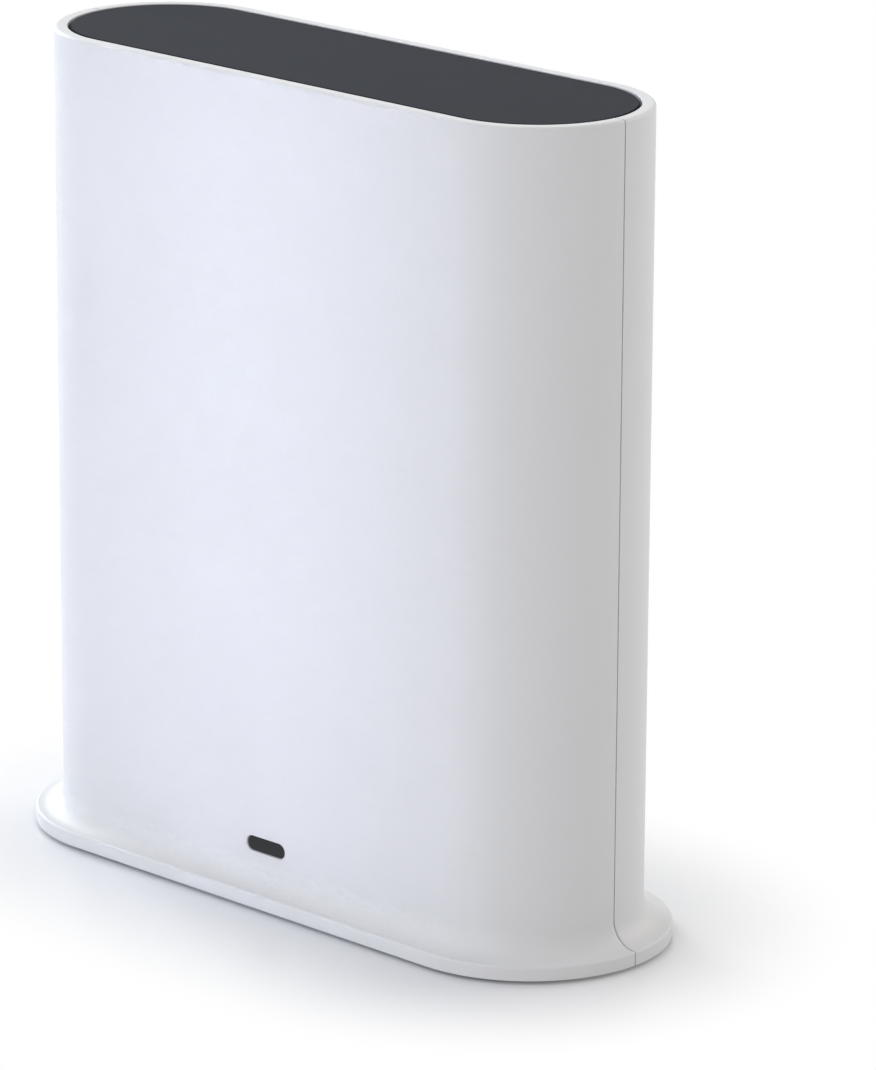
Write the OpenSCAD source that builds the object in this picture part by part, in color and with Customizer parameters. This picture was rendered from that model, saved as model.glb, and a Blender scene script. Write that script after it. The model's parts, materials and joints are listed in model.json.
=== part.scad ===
// Security camera base station: an upright hub with round ends, a flared foot, a dark top panel,
// a status window low on the front and a port bay in the back.
// Millimetres. +Z is up, the front faces -Y, and the origin is under the middle of the foot.

/* [Body] */
// Height over all, from the underside of the rubber foot to the top rim
overall_height = 130; // [124:1:150]
// Length of the body over its round ends
body_length = 112.6; // [108:0.2:130]
// Depth of the body from front to back
body_depth = 35.7; // [34.5:0.1:42]
// Thickness of the shell walls
wall = 2; // [1.6:0.1:2.4]
// Open width of the seam between the front and rear shells
seam_gap = 0.24; // [0.1:0.02:0.5]
// Thickness of the tongue that closes the seam from inside
tongue_thickness = 0.9; // [0.6:0.1:1.1]
// Reach of the tongue past the seam
tongue_reach = 1.8; // [1:0.1:3]
// Clearance between pieces that are fixed together
fit = 0.1; // [0.05:0.05:0.2]

/* [Foot] */
// How far the foot flares out past the body
flare = 4.45; // [3.5:0.05:6]
// Height of the foot's upright edge
foot_edge_height = 2.2; // [2:0.1:3]
// Rounding of the foot's upper edge
foot_round = 0.4; // [0.2:0.1:0.8]
// Thickness of the foot's upright edge around the base plate
foot_wall = 1.6; // [1.2:0.1:2.2]
// Thickness of the base plate
base_thickness = 1.4; // [1.2:0.1:1.7]
// Height of the base plate's locating lip and screw pockets above its flange
lip_height = 2; // [1.5:0.1:3]
// Thickness of the locating lip
lip_thickness = 1.4; // [1:0.1:2]
// How far the rubber foot stands out below the shells
pad_proud = 0.6; // [0.4:0.1:1.2]
// Depth of the rubber foot's groove in the base plate
pad_groove = 0.4; // [0.2:0.1:0.6]
// Width of the rubber foot
pad_width = 4; // [3:0.5:6]
// Distance of the rubber foot from the edge of the base plate
pad_margin = 1; // [0.5:0.1:3]

/* [Top] */
// Width of the white rim around the top panel
rim_width = 2.1; // [1.6:0.1:3]
// Rounding of the rim's outer edge
rim_round = 0.6; // [0.3:0.1:1]
// Chamfer of the rim's inner edge
rim_chamfer = 0.2; // [0.1:0.05:0.4]
// Depth of the top panel below the rim
panel_recess = 0.05; // [0:0.05:1]
// Thickness of the top panel
panel_thickness = 2; // [1.5:0.1:3]
// Open gap around the top panel
panel_gap = 0.4; // [0.2:0.05:0.8]
// Rounding of the top panel's edge
panel_round = 0.15; // [0.1:0.05:0.5]
// Width of the ledge that carries the top panel
ledge_width = 2.5; // [2:0.1:4]
// Thickness of the ledge
ledge_thickness = 1.5; // [1:0.1:2]
// Distance of the panel's clip legs from the middle
clip_x = 25; // [15:1:35]
// Width of a clip leg
clip_width = 6; // [4:0.5:8]
// Thickness of a clip leg
clip_thickness = 1.4; // [1:0.1:2]
// Reach of a clip hook under the ledge
clip_reach = 0.9; // [0.5:0.1:1.4]
// Height of a clip hook
clip_hook = 1.2; // [0.8:0.1:2]

/* [Status window] */
// Length of the window
window_length = 8.3; // [5:0.1:12]
// Height of the window
window_height = 2.5; // [1.5:0.1:3.5]
// Height of the window's centre above the table
window_z = 8.9; // [8.5:0.1:14]
// Depth of the lens below the front face
window_recess = 0.2; // [0:0.05:0.5]
// Width of the flange behind the lens
window_flange = 1; // [0.6:0.1:1.5]
// Thickness of the flange behind the lens
window_flange_thickness = 0.8; // [0.5:0.1:1.2]
// Length of the collar that holds the light pipe
collar_length = 5; // [3:0.5:7]
// Wall of the collar
collar_wall = 1.2; // [0.8:0.1:1.4]
// Gap between the light pipe and the lamp
pipe_gap = 0.3; // [0.2:0.1:0.8]

/* [Port bay] */
// Width of the bay
bay_width = 66; // [60:1:74]
// Height of the bay
bay_height = 21; // [18:0.5:26]
// Depth of the bay
bay_depth = 5; // [4.5:0.1:6]
// Corner radius of the bay
bay_corner = 4; // [2:0.5:6]
// Height of the bay's centre above the table
bay_z = 22; // [20:0.5:30]
// Thickness of the port tray's walls and floor
bay_wall = 1.8; // [1.4:0.1:2.2]
// Width of the tray's flange behind the rear shell
tray_flange = 1.2; // [0.8:0.1:2]
// Thickness of that flange
tray_flange_thickness = 1.2; // [0.8:0.1:2]
// Depth of the tray's edge below the rear face
tray_recess = 0.2; // [0:0.05:0.5]
// Gap between the tray's flange and the posts beside it
post_gap = 1; // [0.5:0.1:4]
// Gap around each socket in the bay's floor
port_gap = 0.25; // [0.15:0.05:0.4]
// Depth of the socket faces below the bay's floor
port_recess = 0.2; // [0:0.1:0.5]
// Space between neighbours in the row of sockets and buttons
port_spacing = 2; // [1:0.1:3]

/* [Sockets] */
// Height of the sockets off the circuit board
socket_height = 14.5; // [13:0.5:16]
// Width and height of the power jack
power_size = 9; // [8:0.5:11]
// Bore radius of the power jack
power_bore_r = 3.1; // [2.8:0.05:3.3]
// Solid back of the power jack
power_back = 3.5; // [2:0.5:5]
// Radius of the power jack's centre pin
power_pin_r = 1.05; // [0.8:0.05:1.3]
// Depth of the centre pin's tip in the power jack
power_pin_depth = 1.5; // [0.5:0.5:3]
// Width of the network socket's housing
ethernet_width = 15.9; // [15:0.1:17]
// Height of the network socket's housing
ethernet_height = 13.4; // [13:0.1:15]
// Width of the plug opening
plug_width = 11.9; // [11.7:0.1:12.4]
// Height of the plug opening
plug_height = 8.4; // [7:0.1:8.8]
// Solid back of the network socket
plug_back = 2.5; // [2:0.5:4]
// Width of the latch notch
latch_width = 6.2; // [5:0.1:7]
// Height of the latch notch
latch_height = 2.4; // [1.5:0.1:2.6]
// Wall above the plug opening
plug_roof = 1.3; // [1:0.1:1.6]
// Spacing of the network contacts
contact_pitch = 1.02; // [1:0.01:1.1]
// Thickness of a network contact
contact_thickness = 0.4; // [0.3:0.05:0.5]
// Drop of the network contacts into the opening
contact_drop = 2.2; // [1.5:0.1:2.6]
// Distance of the network contacts behind the socket's face
contact_setback = 1.2; // [0.8:0.1:2]
// Reach of the network contacts into the socket
contact_reach = 7; // [5:0.5:8]
// Length of a network contact's seat under the roof
contact_seat = 1.2; // [0.8:0.1:2]
// Width of the storage socket
usb_width = 13.1; // [13:0.1:13.6]
// Height of the storage socket
usb_height = 5.72; // [5.5:0.02:6.2]
// Sheet thickness of the storage socket's shell
usb_sheet = 0.3; // [0.25:0.05:0.4]
// Thickness of the storage socket's tongue
usb_tongue_thickness = 1.84; // [1.5:0.02:2]
// Width of the storage socket's tongue
usb_tongue_width = 11.1; // [10:0.1:11.4]
// Gap between the tongue and the storage socket's roof
usb_tongue_gap = 0.6; // [0.4:0.1:1]
// Distance of the tongue's tip behind the socket's face
usb_tongue_setback = 0.8; // [0.5:0.1:1.5]
// Distance of the storage contacts behind the tongue's tip
usb_contact_setback = 1.2; // [0.5:0.1:2]
// Thickness of a storage contact
usb_contact_thickness = 0.2; // [0.1:0.05:0.3]
// Width of a storage contact
usb_contact_width = 1; // [0.8:0.1:1.4]
// Spacing of the two inner storage contacts
usb_inner_pitch = 2; // [1.6:0.1:2.4]
// Spacing of the two outer storage contacts
usb_outer_pitch = 7; // [6:0.1:8]
// Depth of the solid back of the storage socket
usb_back = 4; // [3:0.5:5]

/* [Buttons] */
// Radius of the sync button's cap
sync_r = 4; // [3:0.1:4.2]
// Height of the cap above the bay's floor
sync_proud = 1.2; // [0.8:0.1:2]
// Rounding of the cap's edge
sync_round = 0.5; // [0.2:0.1:0.8]
// Gap around the cap
sync_gap = 0.2; // [0.15:0.05:0.4]
// Width of the flange that keeps the cap in
sync_flange = 1.2; // [0.8:0.1:1.4]
// Thickness of that flange
sync_flange_thickness = 1.2; // [0.8:0.1:1.6]
// Gap between the flange and the bay's floor
sync_seat = 0.05; // [0.02:0.01:0.1]
// Radius of the sync switch's stem
sync_stem_r = 1.7; // [1.2:0.1:2]
// Width of the sync switch
sync_switch_size = 6.2; // [5:0.1:6.4]
// Radius of the reset pinhole
pinhole_r = 0.8; // [0.6:0.05:1]
// Radius of the reset plunger
reset_r = 1.2; // [1:0.1:1.5]
// Width of the reset switch
reset_switch_size = 4.6; // [4:0.1:6]
// Distance of the reset plunger behind the bay's floor
reset_setback = 3.5; // [2:0.5:5]
// Height of the switch bodies
switch_height = 3.5; // [3:0.1:4]
// Depth of the stem's bore in a switch
switch_bore = 1.4; // [1.2:0.1:2]
// Depth of a stem in its switch at rest
stem_engage = 0.6; // [0.4:0.1:0.7]

/* [Circuit board] */
// Free height between the antennas and the ledge of the top panel
headroom = 4.3; // [3.5:0.1:10]
// Thickness of the circuit board
board_thickness = 1.6; // [1:0.2:2]
// Height of the board's lower edge above the table
board_bottom = 6.6; // [6:0.1:7.2]
// Distance of the mounting holes from the board's side edges
hole_inset = 6; // [5:0.5:7]
// Height of the lower mounting holes above the board's lower edge
hole_low = 8.4; // [7:0.2:12]
// Height of the upper mounting holes below the board's upper edge
hole_high = 7.6; // [6:0.2:10]
// Radius of the posts behind the mounting holes
post_r = 3; // [2.5:0.1:3.5]
// Thread radius of the screws
screw_r = 1.25; // [1:0.05:1.5]
// Head radius of the screws
screw_head_r = 2.4; // [2:0.1:2.6]
// Head height of the screws
screw_head = 1.6; // [1.2:0.1:2]
// Thread length of the screws
screw_length = 8; // [7:0.5:10]
// Depth of the screws' pilot holes past their tips
pilot_extra = 0.8; // [0.4:0.1:1.5]
// Width of the cross recess in a screw head
cross_width = 0.7; // [0.5:0.1:0.9]

/* [Base screws] */
// Distance of the base screws past the centres of the round ends
base_screw_x = 3.5; // [2:0.5:5]
// Gap between the base screw posts and the circuit board
base_post_gap = 1.55; // [0.6:0.05:3]
// Radius of the base screw posts
base_post_r = 3.2; // [2.8:0.1:3.6]
// Radius of the base plate's screw pockets
pocket_r = 4; // [3.6:0.1:4.4]
// Depth of the screw heads below the base plate
head_sink = 0.3; // [0.1:0.1:0.5]
// Thickness of the ribs that carry the posts
rib_thickness = 1.6; // [1.2:0.1:2]

/* [Vents] */
// Number of vent slots in the base plate
vent_count = 13; // [5:2:15]
// Spacing of the vent slots
vent_pitch = 4; // [3:0.5:5]
// Width of a vent slot
vent_width = 1.6; // [1:0.1:2.2]
// Length of a vent slot
vent_length = 13; // [8:1:16]

/* [Cooling] */
// Width and height of the processor
processor_size = 15; // [12:1:18]
// Thickness of the processor
processor_thickness = 1.3; // [1:0.1:1.6]
// Thickness of the thermal pad
thermal_thickness = 0.7; // [0.5:0.1:1]
// Width of the heat sink
sink_width = 60; // [56:1:66]
// Height of the heat sink
sink_height = 44; // [42:1:46]
// Distance of the heat sink's upper screws below the shield cans
sink_drop = 5.5; // [3:0.5:12]
// Thickness of the heat sink's plate
sink_plate = 2; // [1.5:0.1:2.5]
// Gap between the fins and the front shell
fin_clearance = 2.4; // [1:0.1:5]
// Thickness of a fin
fin_thickness = 1.2; // [0.8:0.1:1.6]
// Number of fins
fin_count = 11; // [7:1:11]
// Inset of the heat sink's feet from its upper and lower edges
sink_foot_inset = 4; // [3:0.5:6]
// Radius of the heat sink's feet
sink_foot_r = 2.5; // [2:0.1:3]
// Thread radius of the heat sink's screws
sink_screw_r = 1; // [0.8:0.1:1.2]
// Head radius of the heat sink's screws
sink_head_r = 2; // [1.6:0.1:2.2]
// Head height of the heat sink's screws
sink_head = 1.3; // [1:0.1:1.6]

/* [Radios] */
// Width of a shield can
can_width = 26; // [20:1:30]
// Height of a shield can
can_height = 17; // [12:1:19]
// Depth of a shield can
can_depth = 2.6; // [2:0.1:3]
// Sheet thickness of a shield can
can_sheet = 0.3; // [0.2:0.05:0.5]
// Gap between the cans and the posts beside them
can_gap = 2; // [1:0.5:6]
// Distance of the cans' centres below the board's upper edge
can_drop = 16.6; // [15:0.1:22]
// Width of a radio chip
radio_size = 8; // [6:0.5:10]
// Thickness of the chips
chip_thickness = 1.1; // [0.8:0.1:1.4]
// Distance of the antenna boards from the ends of their carrier
antenna_inset = 2; // [1:0.5:6]
// Gap between the two antenna boards
antenna_gap = 16; // [8:1:24]
// Height of an antenna board
antenna_height = 14; // [10:0.5:15]
// Thickness of an antenna board
antenna_thickness = 0.8; // [0.6:0.1:1]
// Depth of the antennas' slots in the carrier
antenna_slot = 1.6; // [1:0.1:2]
// Height of the carrier above the board's upper edge
carrier_rise = 3; // [2.6:0.1:4]
// Depth of the carrier's groove over the board's edge
carrier_groove = 2; // [1.5:0.1:2.4]
// Thickness of the carrier in front of the board
carrier_front = 1.8; // [1.4:0.1:2.2]
// Thickness of the carrier behind the board
carrier_back = 0.9; // [0.7:0.1:1]
// Width of the carrier's legs
leg_width = 8; // [7:0.5:9]
// Radius of the coaxial leads
coax_r = 0.6; // [0.4:0.05:0.7]
// Bend radius of the coaxial leads
coax_bend = 1.2; // [1:0.1:1.4]
// Height of the leads' upper ends above the carrier
coax_rise = 4; // [3:0.5:6]
// Distance of the lower connectors below the board's upper edge
plug_drop = 5; // [4:0.5:5.5]
// Height of the lower connectors
coax_plug_height = 1.2; // [1:0.1:1.5]
// Radius of the lower connectors
coax_plug_r = 1.3; // [1:0.1:1.5]

/* [Small parts] */
// Width of the memory chips
memory_width = 9; // [7:0.5:10]
// Height of the memory chips
memory_height = 13; // [10:0.5:14]
// Distance of the memory chips from the middle
memory_x = 15; // [14.5:0.5:16]
// Width of the network transformer
transformer_width = 14; // [10:1:16]
// Height of the network transformer
transformer_height = 8; // [6:0.5:9]
// Depth of the network transformer
transformer_depth = 5.5; // [4:0.5:6]
// Gap between the network socket and the row of small parts above it
low_row_gap = 7.3; // [2:0.1:10]
// Distance from the lower row of small parts to the upper one
row_pitch = 13; // [10:0.5:16]
// Radius of the bulk capacitors
capacitor_r = 4; // [3:0.5:4]
// Height of the bulk capacitors
capacitor_height = 12; // [9:0.5:12]
// Distance of the bulk capacitors from the board's edge
capacitor_inset = 11; // [8:0.5:14]
// Width of the power inductors
inductor_size = 7; // [5:0.5:8]
// Depth of the power inductors
inductor_depth = 4; // [3:0.5:5]
// Sideways place of the first power inductor
inductor_x = 8; // [7:0.5:9]
// Spacing of the power inductors
inductor_pitch = 10; // [9:0.5:11]
// Sideways place of the flash chip
flash_x = -10; // [-14:1:-8]
// Width of the status lamp
led_width = 3.5; // [2:0.1:4]
// Height of the status lamp
led_height = 1.6; // [1:0.1:2]
// Depth of the status lamp
led_depth = 0.9; // [0.6:0.1:1.2]

/* [Hidden] */
$fn = 96;
body_r = body_depth / 2;
inner_r = body_r - wall;
end_x = body_length / 2 - body_r;
foot_r = body_r + flare;
shell_bottom = pad_proud;
foot_top = shell_bottom + foot_edge_height;
fillet_r = flare - foot_round;
flare_top = foot_top + fillet_r;
base_top = shell_bottom + base_thickness;
base_r = foot_r - foot_wall;
rim_r = body_r - rim_width;
ledge_top = overall_height - panel_recess - panel_thickness;
ledge_bottom = ledge_top - ledge_thickness;
ledge_r = inner_r - ledge_width;
panel_top = overall_height - panel_recess;
bay_floor = body_r - bay_depth;
bay_back = bay_floor - bay_wall;
tray_width = bay_width + 2 * bay_wall;
tray_height = bay_height + 2 * bay_wall;
tray_corner = bay_corner + bay_wall;
socket_face = bay_floor - port_recess;
board_back = socket_face - socket_height;
board_front = board_back - board_thickness;
antenna_top = ledge_bottom - headroom;
board_top = antenna_top - antenna_height + antenna_slot - carrier_rise;
hole_x = tray_width / 2 + tray_flange + post_gap + post_r;
board_width = 2 * (hole_x + hole_inset);
hole_z_low = board_bottom + hole_low;
hole_z_high = board_top - hole_high;
flange_back = -inner_r + window_flange_thickness;
can_x = hole_x - post_r - can_gap - can_width / 2;
can_z = board_top - can_drop;
sink_face = board_front - processor_thickness - thermal_thickness;
fin_tip = -inner_r + fin_clearance;
fin_pitch = (sink_width - fin_thickness) / (fin_count - 1);
sink_foot_x = sink_width / 2 - (fin_pitch + fin_thickness) / 2;
sink_foot_z = sink_height / 2 - sink_foot_inset;
sink_z = can_z - can_height / 2 - sink_drop - sink_foot_z;
sync_width = 2 * (sync_r + sync_flange);
row_width = power_size + ethernet_width + usb_width + reset_switch_size + sync_width + 4 * port_spacing;
power_x = (row_width - power_size) / 2;
ethernet_x = power_x - (power_size + ethernet_width) / 2 - port_spacing;
usb_x = ethernet_x - (ethernet_width + usb_width) / 2 - port_spacing;
reset_x = usb_x - (usb_width + reset_switch_size) / 2 - port_spacing;
sync_x = reset_x - (reset_switch_size + sync_width) / 2 - port_spacing;
power_bore_back = board_back + power_back;
plug_end = board_back + plug_back;
low_row_z = bay_z + (ethernet_height + transformer_height) / 2 + low_row_gap;
high_row_z = low_row_z + row_pitch;
capacitor_x = board_width / 2 - capacitor_inset;
plug_top = ethernet_height / 2 - plug_roof;
plug_floor = plug_top - plug_height;
usb_back_y = board_back + usb_back;
usb_roof = usb_height / 2 - usb_sheet - fit / 2;
usb_tongue_top = usb_roof - usb_tongue_gap;
usb_tongue_under = usb_tongue_top - usb_tongue_thickness;
usb_tongue_tip = socket_face - usb_tongue_setback;
switch_face = board_back + switch_height;
stem_back = switch_face - stem_engage;
sync_flange_front = bay_back - sync_seat;
carrier_bottom = board_top - carrier_groove;
carrier_top = board_top + carrier_rise;
carrier_face = board_front - carrier_front;
board_mid = (board_back + board_front) / 2;
antenna_back = board_mid + antenna_thickness / 2;
antenna_front = antenna_back - antenna_thickness;
antenna_bottom = carrier_top - antenna_slot;
antenna_length = board_width / 2 - antenna_inset - antenna_gap / 2;
antenna_x = (antenna_gap + antenna_length) / 2;
coax_y = board_back + coax_plug_height + coax_bend + 2 * fit;
coax_top = carrier_top + coax_rise;
coax_low = board_top - plug_drop;
pocket_top = base_top + lip_height;
base_screw_y = base_post_gap + base_post_r - board_front;
base_screw_top = shell_bottom + head_sink + screw_head + screw_length;
base_post_top = base_screw_top + pilot_extra;
shell_white = [0.91, 0.92, 0.93];
panel_grey = [0.24, 0.245, 0.26];
ink_black = [0.06, 0.06, 0.065];
chip_black = [0.1, 0.1, 0.11];
steel = [0.72, 0.73, 0.74];
gold = [0.83, 0.66, 0.3];
board_green = [0.06, 0.28, 0.16];

// Pill outline, lying along X
module pill(length, height) {
    square([length - height, height], center = true);
    for (side = [-1, 1])
        translate([side * (length - height) / 2, 0])
            circle(d = height);
}

// Rectangle with round corners
module soft_rectangle(width, height, corner) {
    square([width - 2 * corner, height], center = true);
    square([width, height - 2 * corner], center = true);
    for (sx = [-1, 1], sy = [-1, 1])
        translate([sx * (width / 2 - corner), sy * (height / 2 - corner)])
            circle(corner);
}

// Stands an X-Z outline up and runs it along +Y from y0 to y1
module along_y(y0, y1) {
    translate([0, y1, 0])
        rotate([90, 0, 0])
            linear_extrude(y1 - y0)
                children();
}

// Box from a lower corner to an upper corner
module block(low, high) {
    translate(low)
        cube(high - low);
}

// Runs a radius and height outline around the front half of the body
module front_half_sweep() {
    translate([end_x, 0, 0])
        rotate([0, 0, -90])
            rotate_extrude(angle = 90)
                children();
    translate([-end_x, 0, 0])
        rotate([0, 0, 180])
            rotate_extrude(angle = 90)
                children();
    translate([end_x, 0, 0])
        rotate([90, 0, -90])
            linear_extrude(2 * end_x)
                children();
}

// Runs the same outline all the way around
module full_sweep() {
    front_half_sweep() children();
    rotate([0, 0, 180])
        front_half_sweep() children();
}

// Outline of the body's skin: foot, concave flare, straight wall and round-edged rim
module skin_outline() {
    translate([0, shell_bottom])
        square([body_r, overall_height - rim_round - shell_bottom]);
    translate([0, shell_bottom])
        square([body_r - rim_round, overall_height - shell_bottom]);
    translate([body_r - rim_round, overall_height - rim_round])
        circle(rim_round);
    translate([0, shell_bottom])
        square([foot_r, foot_edge_height - foot_round]);
    translate([0, shell_bottom])
        square([foot_r - foot_round, foot_edge_height]);
    translate([foot_r - foot_round, foot_top - foot_round])
        circle(foot_round);
    difference() {
        translate([body_r - wall / 2, foot_top - foot_round])
            square([fillet_r + wall / 2, fillet_r + foot_round]);
        translate([body_r + fillet_r, flare_top])
            circle(fillet_r);
    }
}

// Outline of the space inside the shells
module cavity_outline() {
    square([base_r, base_top]);
    square([inner_r, ledge_bottom]);
    square([ledge_r, overall_height]);
    translate([0, ledge_top])
        square([rim_r, overall_height]);
    polygon([[0, overall_height - rim_chamfer], [rim_r, overall_height - rim_chamfer],
        [rim_r + rim_chamfer, overall_height], [rim_r + rim_chamfer, overall_height + 1],
        [0, overall_height + 1]]);
}

// Wall section that both shells share
module shell_outline() {
    difference() {
        skin_outline();
        cavity_outline();
    }
}

// Front half of the bare shell, held back from the seam
module half_shell() {
    difference() {
        front_half_sweep() shell_outline();
        translate([-body_length, -seam_gap / 2, 0])
            cube([2 * body_length, body_depth, overall_height + 1]);
    }
}

// Post for a base screw with a rib to the wall, in the front half
module base_post(side) {
    angle = atan2(-base_screw_y, base_screw_x);
    reach = norm([base_screw_x, base_screw_y]);
    mirror([side < 0 ? 1 : 0, 0, 0])
        translate([end_x, 0, 0])
            rotate([0, 0, angle]) {
                translate([reach, 0, pocket_top])
                    cylinder(r = base_post_r, h = base_post_top - pocket_top);
                rib_foot = pocket_top + 4 * fit;
                translate([reach, -rib_thickness / 2, rib_foot])
                    cube([inner_r + wall / 2 - reach, rib_thickness, base_post_top - rib_foot]);
            }
}

// Pilot hole of a base screw, in the front half
module base_pilot(side) {
    translate([side * (end_x + base_screw_x), -base_screw_y, pocket_top - 1])
        cylinder(r = screw_r + fit / 2, h = base_screw_top + pilot_extra / 2 - pocket_top + 1);
}

// Length of tongue or groove inside the seam, at both ends
module seam_ring(r0, r1, reach, back, low, high) {
    for (side = [0, 1])
        mirror([side, 0, 0])
            translate([end_x, 0, 0])
                intersection() {
                    translate([0, 0, low])
                        difference() {
                            cylinder(r = r1, h = high - low);
                            translate([0, 0, -1])
                                cylinder(r = r0, h = high - low + 2);
                        }
                    block([0, -reach, low - 1], [body_r, back, high + 1]);
                }
}

module front_shell() {
    window_bore_l = window_length + 2 * window_flange + 2 * fit;
    window_bore_h = window_height + 2 * window_flange + 2 * fit;
    color(shell_white)
        difference() {
            union() {
                half_shell();
                translate([0, 0, window_z])
                    along_y(-inner_r - wall / 2, -inner_r + collar_length)
                        pill(window_bore_l + 2 * collar_wall, window_bore_h + 2 * collar_wall);
                for (side = [-1, 1])
                    base_post(side);
            }
            translate([0, 0, window_z])
                along_y(-inner_r, -inner_r + collar_length + 1)
                    pill(window_bore_l, window_bore_h);
            translate([0, 0, window_z])
                along_y(-body_r - 1, -inner_r + 1)
                    pill(window_length, window_height);
            for (side = [-1, 1])
                base_pilot(side);
            seam_ring(inner_r - 1, inner_r + tongue_thickness + fit, tongue_reach + fit, 1,
                flare_top - fit, ledge_bottom);
        }
}

// Post for a circuit board screw, from the board's back into the curve of the wall
module board_post(side, height) {
    past_end = max(0, hole_x + post_r - end_x);
    post_end = sqrt(pow(inner_r + wall / 2, 2) - pow(past_end, 2));
    translate([side * hole_x, board_back, height])
        rotate([-90, 0, 0])
            cylinder(r = post_r, h = post_end - board_back);
}

module rear_shell() {
    color(shell_white)
        difference() {
            union() {
                difference() {
                    rotate([0, 0, 180])
                        half_shell();
                    translate([0, 0, bay_z])
                        along_y(inner_r - 1, body_r + 1)
                            soft_rectangle(tray_width + 2 * fit, tray_height + 2 * fit, tray_corner + fit);
                }
                for (side = [-1, 1]) {
                    rotate([0, 0, 180])
                        base_post(side);
                    board_post(side, hole_z_low);
                    board_post(side, hole_z_high);
                }
                seam_ring(inner_r, inner_r + tongue_thickness, tongue_reach, 1,
                    flare_top, ledge_bottom - fit);
            }
            for (side = [-1, 1]) {
                rotate([0, 0, 180])
                    base_pilot(side);
                for (height = [hole_z_low, hole_z_high])
                    translate([side * hole_x, board_back - 1, height])
                        rotate([-90, 0, 0])
                            cylinder(r = screw_r + fit / 2,
                                h = screw_length - board_thickness + pilot_extra + 1);
            }
        }
}

module port_tray() {
    color([0.86, 0.87, 0.88])
        translate([0, 0, bay_z])
            difference() {
                union() {
                    along_y(bay_back, body_r - tray_recess)
                        soft_rectangle(tray_width, tray_height, tray_corner);
                    along_y(inner_r - tray_flange_thickness, inner_r)
                        soft_rectangle(tray_width + 2 * tray_flange, tray_height + 2 * tray_flange,
                            tray_corner + tray_flange);
                }
                along_y(bay_floor, body_r + 1)
                    soft_rectangle(bay_width, bay_height, bay_corner);
                along_y(bay_back - 1, bay_floor + 1) {
                    translate([power_x, 0])
                        square(power_size + 2 * port_gap, center = true);
                    translate([ethernet_x, 0])
                        square([ethernet_width + 2 * port_gap, ethernet_height + 2 * port_gap],
                            center = true);
                    translate([usb_x, 0])
                        square([usb_width + 2 * port_gap, usb_height + 2 * port_gap], center = true);
                    translate([sync_x, 0])
                        circle(sync_r + sync_gap);
                    translate([reset_x, 0])
                        circle(pinhole_r);
                }
            }
}

module top_panel() {
    panel_r = rim_r - panel_gap;
    clip_face = ledge_r - fit;
    hook_top = ledge_bottom - fit;
    color(panel_grey) {
        full_sweep() {
            translate([0, ledge_top])
                square([panel_r, panel_thickness - panel_round]);
            translate([0, ledge_top])
                square([panel_r - panel_round, panel_thickness]);
            translate([panel_r - panel_round, panel_top - panel_round])
                circle(panel_round);
        }
        for (sx = [-1, 1], sy = [0, 1])
            mirror([0, sy, 0])
                translate([sx * clip_x - clip_width / 2, 0, 0]) {
                    block([0, clip_face - clip_thickness, hook_top - clip_hook],
                        [clip_width, clip_face, ledge_top + 0.5]);
                    block([0, clip_face - clip_thickness, hook_top - clip_hook],
                        [clip_width, clip_face + clip_reach, hook_top]);
                }
    }
}

module base_plate() {
    lip_r = inner_r - fit;
    pad_r = base_r - pad_margin + fit;
    color([0.86, 0.87, 0.88])
        difference() {
            union() {
                full_sweep()
                    translate([0, shell_bottom])
                        square([base_r - fit, base_thickness]);
                full_sweep()
                    translate([lip_r - lip_thickness, base_top - 0.5])
                        square([lip_thickness, lip_height + 0.5]);
                for (sx = [-1, 1], sy = [-1, 1])
                    translate([sx * (end_x + base_screw_x), sy * base_screw_y, shell_bottom])
                        cylinder(r = pocket_r, h = pocket_top - shell_bottom);
            }
            full_sweep()
                translate([pad_r - pad_width - 2 * fit, shell_bottom - 1])
                    square([pad_width + 2 * fit, pad_groove + 1]);
            for (sx = [-1, 1], sy = [-1, 1])
                translate([sx * (end_x + base_screw_x), sy * base_screw_y, 0]) {
                    cylinder(r = screw_r + 2 * fit, h = pocket_top + 1);
                    cylinder(r = screw_head_r + 3 * fit, h = shell_bottom + head_sink + screw_head);
                }
            for (i = [0:vent_count - 1])
                translate([(i - (vent_count - 1) / 2) * vent_pitch, 0, 0])
                    rotate([0, 0, 90])
                        linear_extrude(base_top + 1)
                            pill(vent_length, vent_width);
        }
}

module rubber_foot() {
    pad_r = base_r - pad_margin;
    color(chip_black)
        full_sweep()
            translate([pad_r - pad_width, 0])
                square([pad_width, pad_proud + pad_groove]);
}

// Screw with its head seat at the origin and its thread running up
module screw(thread_r, length, head_r, head) {
    color(steel)
        difference() {
            union() {
                cylinder(r = thread_r, h = length);
                translate([0, 0, -head])
                    cylinder(r = head_r, h = head);
            }
            for (turn = [0, 90])
                rotate([0, 0, turn])
                    translate([-head_r * 0.6, -cross_width / 2, -head - 1])
                        cube([head_r * 1.2, cross_width, head / 2 + 1]);
        }
}

module base_screws() {
    for (sx = [-1, 1], sy = [-1, 1])
        translate([sx * (end_x + base_screw_x), sy * base_screw_y, shell_bottom + head_sink + screw_head])
            screw(screw_r, screw_length, screw_head_r, screw_head);
}

module status_window() {
    color(ink_black)
        translate([0, 0, window_z]) {
            along_y(-body_r + window_recess, flange_back)
                pill(window_length - 2 * fit, window_height - 2 * fit);
            along_y(-inner_r, flange_back)
                pill(window_length + 2 * window_flange, window_height + 2 * window_flange);
        }
}

module light_pipe() {
    color([0.85, 0.9, 0.95, 0.6])
        translate([0, 0, window_z])
            along_y(flange_back, board_front - led_depth - pipe_gap)
                pill(window_length + 2 * window_flange, window_height + 2 * window_flange);
}

module status_led() {
    color([0.95, 0.93, 0.8])
        block([-led_width / 2, board_front - led_depth, window_z - led_height / 2],
            [led_width / 2, board_front, window_z + led_height / 2]);
}

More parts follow.
